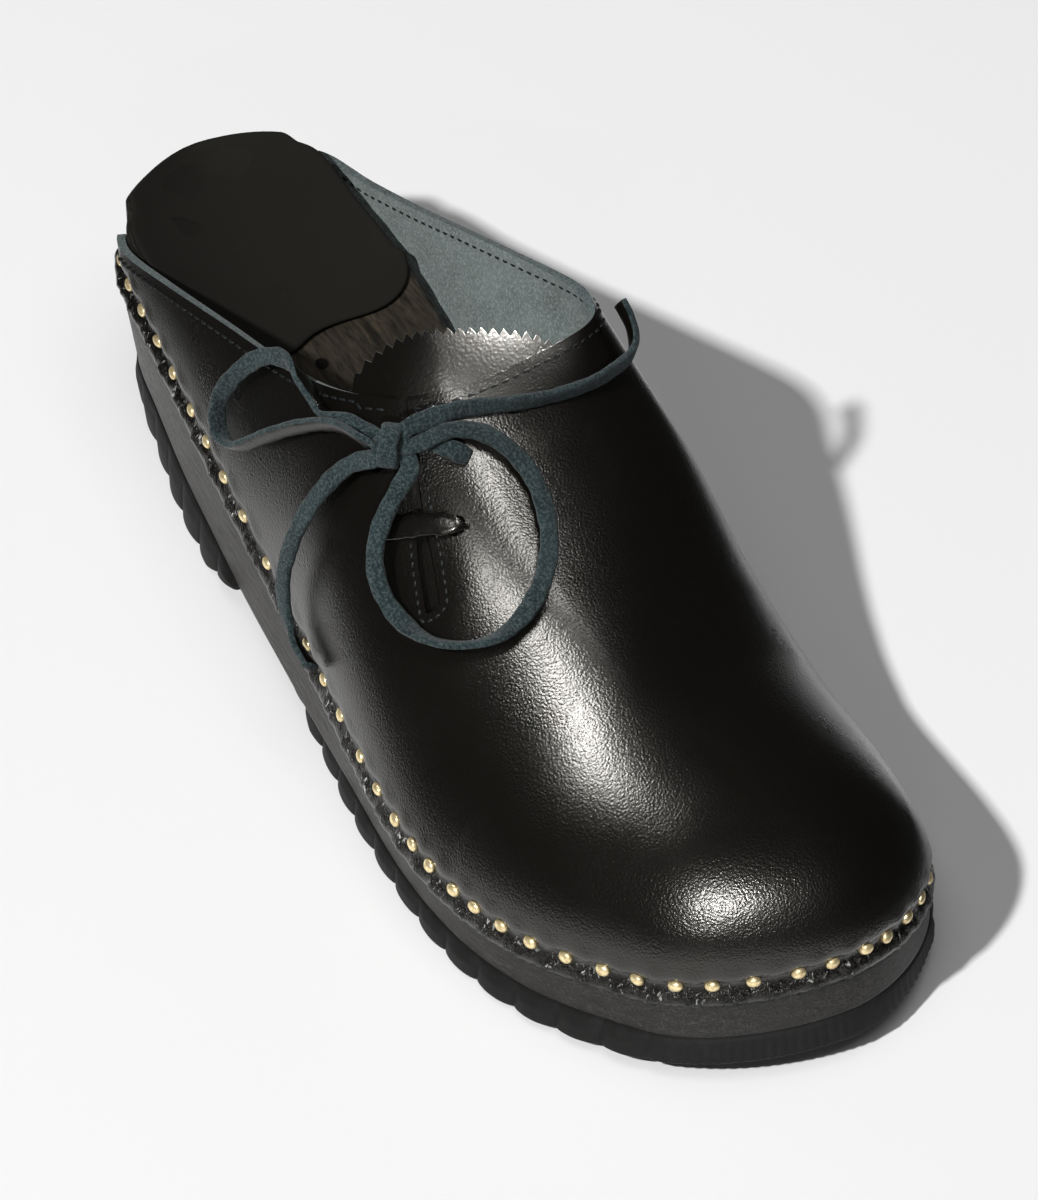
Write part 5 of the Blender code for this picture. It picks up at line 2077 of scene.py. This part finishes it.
@dataclass
class Studio:
    """Pale floor, soft lights and the camera, which stands where the photograph's did."""

    lights: tuple[StudioLight, ...] = (
        StudioLight("key_light", (0.50, -3.20, 3.80), (0, 0, 0), 0.23, 280.0, False),
        StudioLight("fill_light", (0.2, 0.0, 2.0), (0, 0, 0), 1.6, 12.0, False),
        StudioLight("vamp_gleam", (0.0366, -0.0438, 0.128), (0.0666, -0.0178, 0.058), 0.026, 0.0200,
                    True, 78.0),
        StudioLight("instep_gleam", (0.0396, 0.0082, 0.152), (0.0136, -0.0098, 0.076), 0.026, 0.0082,
                    True, 58.0),
        StudioLight("tongue_gleam", (-0.0205, 0.0660, 0.144), (-0.0115, 0.0055, 0.086), 0.014, 0.0115,
                    True, 24.0),
        StudioLight("toe_gleam", (1.06, -0.62, 0.86), (0, 0, 0), 0.14, 21.0, True, 180.0, 0.25),
        StudioLight("toe_gleam_left", (0.98, -0.74, 0.84), (0, 0, 0), 0.20, 3.0, True, 180.0, 0.25))
    floor_grey: float = 0.80
    floor_roughness: float = 0.75
    floor_half: float = 3000.0
    floor_points: int = 9
    mirrored_along: Pair = (0.905, -0.425)
    mirrored_reach: Pair = (0.28, 0.119)
    mirrored_edge: Pair = (0.92, 1.12)
    mirrored_greys: Pair = (1.0, 0.03)
    surround: float = 0.03
    camera_at: Triple = (0.8178, -0.4775, 1.0891)
    first_aim: Triple = (-0.0086, 0.0741, 0.0004)
    first_focus: float = 4209.0
    frame: tuple[int, int] = (1038, 1200)
    shoe_pixel: Pair = (371.0, 663.0)
    closer: float = 1.5
    sensor: float = 36.0

    def place_camera(self) -> None:
        """Aim at the middle of the shoe along the ray of its pixel, and narrow the view to the one shoe."""
        at = np.array(self.camera_at)
        ahead = unit(np.array(self.first_aim) - at)
        right = unit(np.cross(ahead, np.array([0, 0, 1.0])))
        up = np.cross(right, ahead)
        gap_x = (self.shoe_pixel[0] - self.frame[0] / 2) / self.first_focus
        gap_y = (self.frame[1] / 2 - self.shoe_pixel[1]) / self.first_focus
        aim = Vector((ahead + right * gap_x + up * gap_y).tolist())
        lens = bpy.data.cameras.new("photo_camera")
        lens.sensor_fit = "HORIZONTAL"
        lens.sensor_width = self.sensor
        lens.lens = self.sensor * self.first_focus * self.closer / self.frame[0]
        lens.clip_start = 0.05
        camera = bpy.data.objects.new("photo_camera", lens)
        camera.location = self.camera_at
        camera.rotation_euler = aim.to_track_quat("-Z", "Y").to_euler()
        bpy.context.scene.collection.objects.link(camera)
        bpy.context.scene.camera = camera

    def add_light(self, light: StudioLight) -> None:
        """Hang one light: a gleam only shows in shiny surfaces, and the others only light them.

        Args:
            light: what to hang.
        """
        lamp_data = bpy.data.lights.new(light.name, "AREA")
        lamp_data.shape = "RECTANGLE"
        lamp_data.size = light.size
        lamp_data.size_y = light.size * light.flatness
        lamp_data.energy = light.power
        lamp_data.spread = math.radians(light.spread)
        lamp = bpy.data.objects.new(light.name, lamp_data)
        lamp.location = light.place
        lamp.rotation_euler = (Vector(light.aim) - Vector(light.place)).to_track_quat("-Z", "Y").to_euler()
        lamp.visible_camera = False
        lamp.visible_glossy = light.gleams
        lamp.visible_diffuse = not light.gleams
        bpy.context.scene.collection.objects.link(lamp)

    def floor(self) -> Object:
        """A pale floor; shiny surfaces only mirror the part of it that is near the shoe.

        Returns:
            The floor.
        """
        tree = ShaderTree("pale_floor")
        x, y = self.mirrored_along
        squares = []
        for direction, reach in zip(((x, y, 0.0), (-y, x, 0.0)), self.mirrored_reach):
            away = tree.vector("DOT_PRODUCT", tree.place, [value / reach for value in direction])["Value"]
            squares.append(tree.times(away, away))
        far = tree.span(tree.plus(*squares), *self.mirrored_edge)
        mirrored = tree.blend(far, *((grey,) * 3 for grey in self.mirrored_greys))
        glossy = tree.add("ShaderNodeLightPath").outputs["Is Glossy Ray"]
        colour = tree.blend(glossy, (self.floor_grey,) * 3, mirrored)
        tree.set(Base_Color=colour, Roughness=self.floor_roughness)
        side = np.linspace(-self.floor_half, self.floor_half, self.floor_points)
        plan = np.stack(np.meshgrid(side, side, indexing="ij"), axis=-1).reshape(-1, 2)
        points = np.column_stack([plan, np.zeros(len(plan))]) + ORIGIN
        piece = add_piece("floor", points, grid_faces(len(side), len(side), flip=True), [tree.material])
        return piece

    def build(self) -> None:
        """Floor, lights, dim surroundings and camera."""
        self.floor()
        for light in self.lights:
            self.add_light(light)
        world = bpy.data.worlds.new("studio")
        world.use_nodes = True
        glow = world.node_tree.nodes["Background"].inputs
        glow["Color"].default_value = (1.0, 1.0, 1.0, 1.0)
        glow["Strength"].default_value = self.surround
        bpy.context.scene.world = world
        bpy.context.scene.view_settings.view_transform = "Standard"
        self.place_camera()


NAIL_PLACES: dict[Side, tuple[float, ...]] = {
    Side.OUTER: (37, 45, 53, 63, 72, 83, 92, 102, 113, 126, 138, 149, 159, 169, 181, 191, 200, 208, 215,
                 224, 231, 239, 247, 256, 265, 273, 282, 290, 299, 309, 317, 325),
    Side.INNER: (41, 48, 56, 65, 75, 86, 97, 107, 116, 127, 136, 146, 155, 166, 176, 185, 197, 206, 216,
                 225, 237, 246, 254, 263, 272, 281, 288, 295, 302),
}


def dress(piece: Object, slot: str | None, *nodes: str) -> Object:
    """Let a piece ride on the shoe and hide the CAD nodes that it stands for.

    Args:
        piece: the new piece.
        slot: not used.
        nodes: CAD nodes that the piece replaces.

    Returns:
        The piece.
    """
    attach(piece, "root")
    if nodes:
        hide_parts(*nodes)
    log.info("%s has %d faces", piece.name, len(piece.data.polygons))
    return piece


def main() -> None:
    """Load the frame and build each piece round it."""
    logging.basicConfig(level=logging.INFO, format="%(message)s")
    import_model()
    Studio().build()

    grain = GrainLeather("black_leather").make()
    suede = Suede("flesh_side", (0.140, 0.168, 0.162), (0.088, 0.108, 0.104), (0.24, 0.28, 0.27)).make()
    raw_edge = Suede("cut_edge", (0.075, 0.095, 0.095), (0.035, 0.046, 0.046), (0.15, 0.18, 0.18),
                     depth=0.08).make()
    thong_flesh = Suede("thong_flesh", (0.018, 0.032, 0.035), (0.007, 0.013, 0.015),
                        (0.070, 0.094, 0.096)).make()
    thong_grain = GrainLeather("thong_grain", roughness=0.34, pebbles=1.5, depth=0.05, wax=0.0,
                               gloss=0.32).make()
    bar_grain = GrainLeather("bar_grain", roughness=0.22, pebbles=1.5, depth=0.03, gloss=0.6).make()
    tongue_grain = GrainLeather("tongue_leather", roughness=0.32, pebbles=1.4, depth=0.06).make()
    sock_leather = GrainLeather("sock_leather", colour=(0.0125, 0.0120, 0.0105), worn=(0.020, 0.019, 0.017),
                                roughness=0.65, pebbles=1.6, depth=0.03, wax=0.0, gloss=0.06).make()
    wood = StainedWood("stained_wood").make()
    rubber = Rubber("tread_rubber").make()
    thread = Thread("sewing_thread").make()
    brass = Brass("brass").make()

    last = Last()
    slit = Slit()
    lace = Lace(last, slit)
    thong = (thong_flesh, thong_grain)
    for stretch in lace.stretches:
        dress(lace.build_stretch(stretch, thong), "lace")
    dress(lace.build_bar((bar_grain, bar_grain)), "lace")
    for piece in lace.build_knot(thong):
        dress(piece, "lace")

    for piece, node in zip(Treads(last).build_all(rubber), ("outsole_heel", "outsole_forefoot")):
        dress(piece, "rubber", node)
    dress(WoodSole(last).build(wood), "stained_wood", "wood_sole")
    dress(HeelSock(last).build(sock_leather), "sock_leather", "heel_sock")
    upper = Upper(last, slit, NAIL_PLACES)
    dress(upper.build(grain, suede, raw_edge), "leather", "upper")
    dress(Tongue(last, slit).build(tongue_grain, suede, raw_edge), "leather", "tongue")
    dress(Nails(last, NAIL_PLACES).build(brass), None)
    dress(Stitching(last, upper, slit).build(thread), None)


if __name__ == "__main__":
    main()
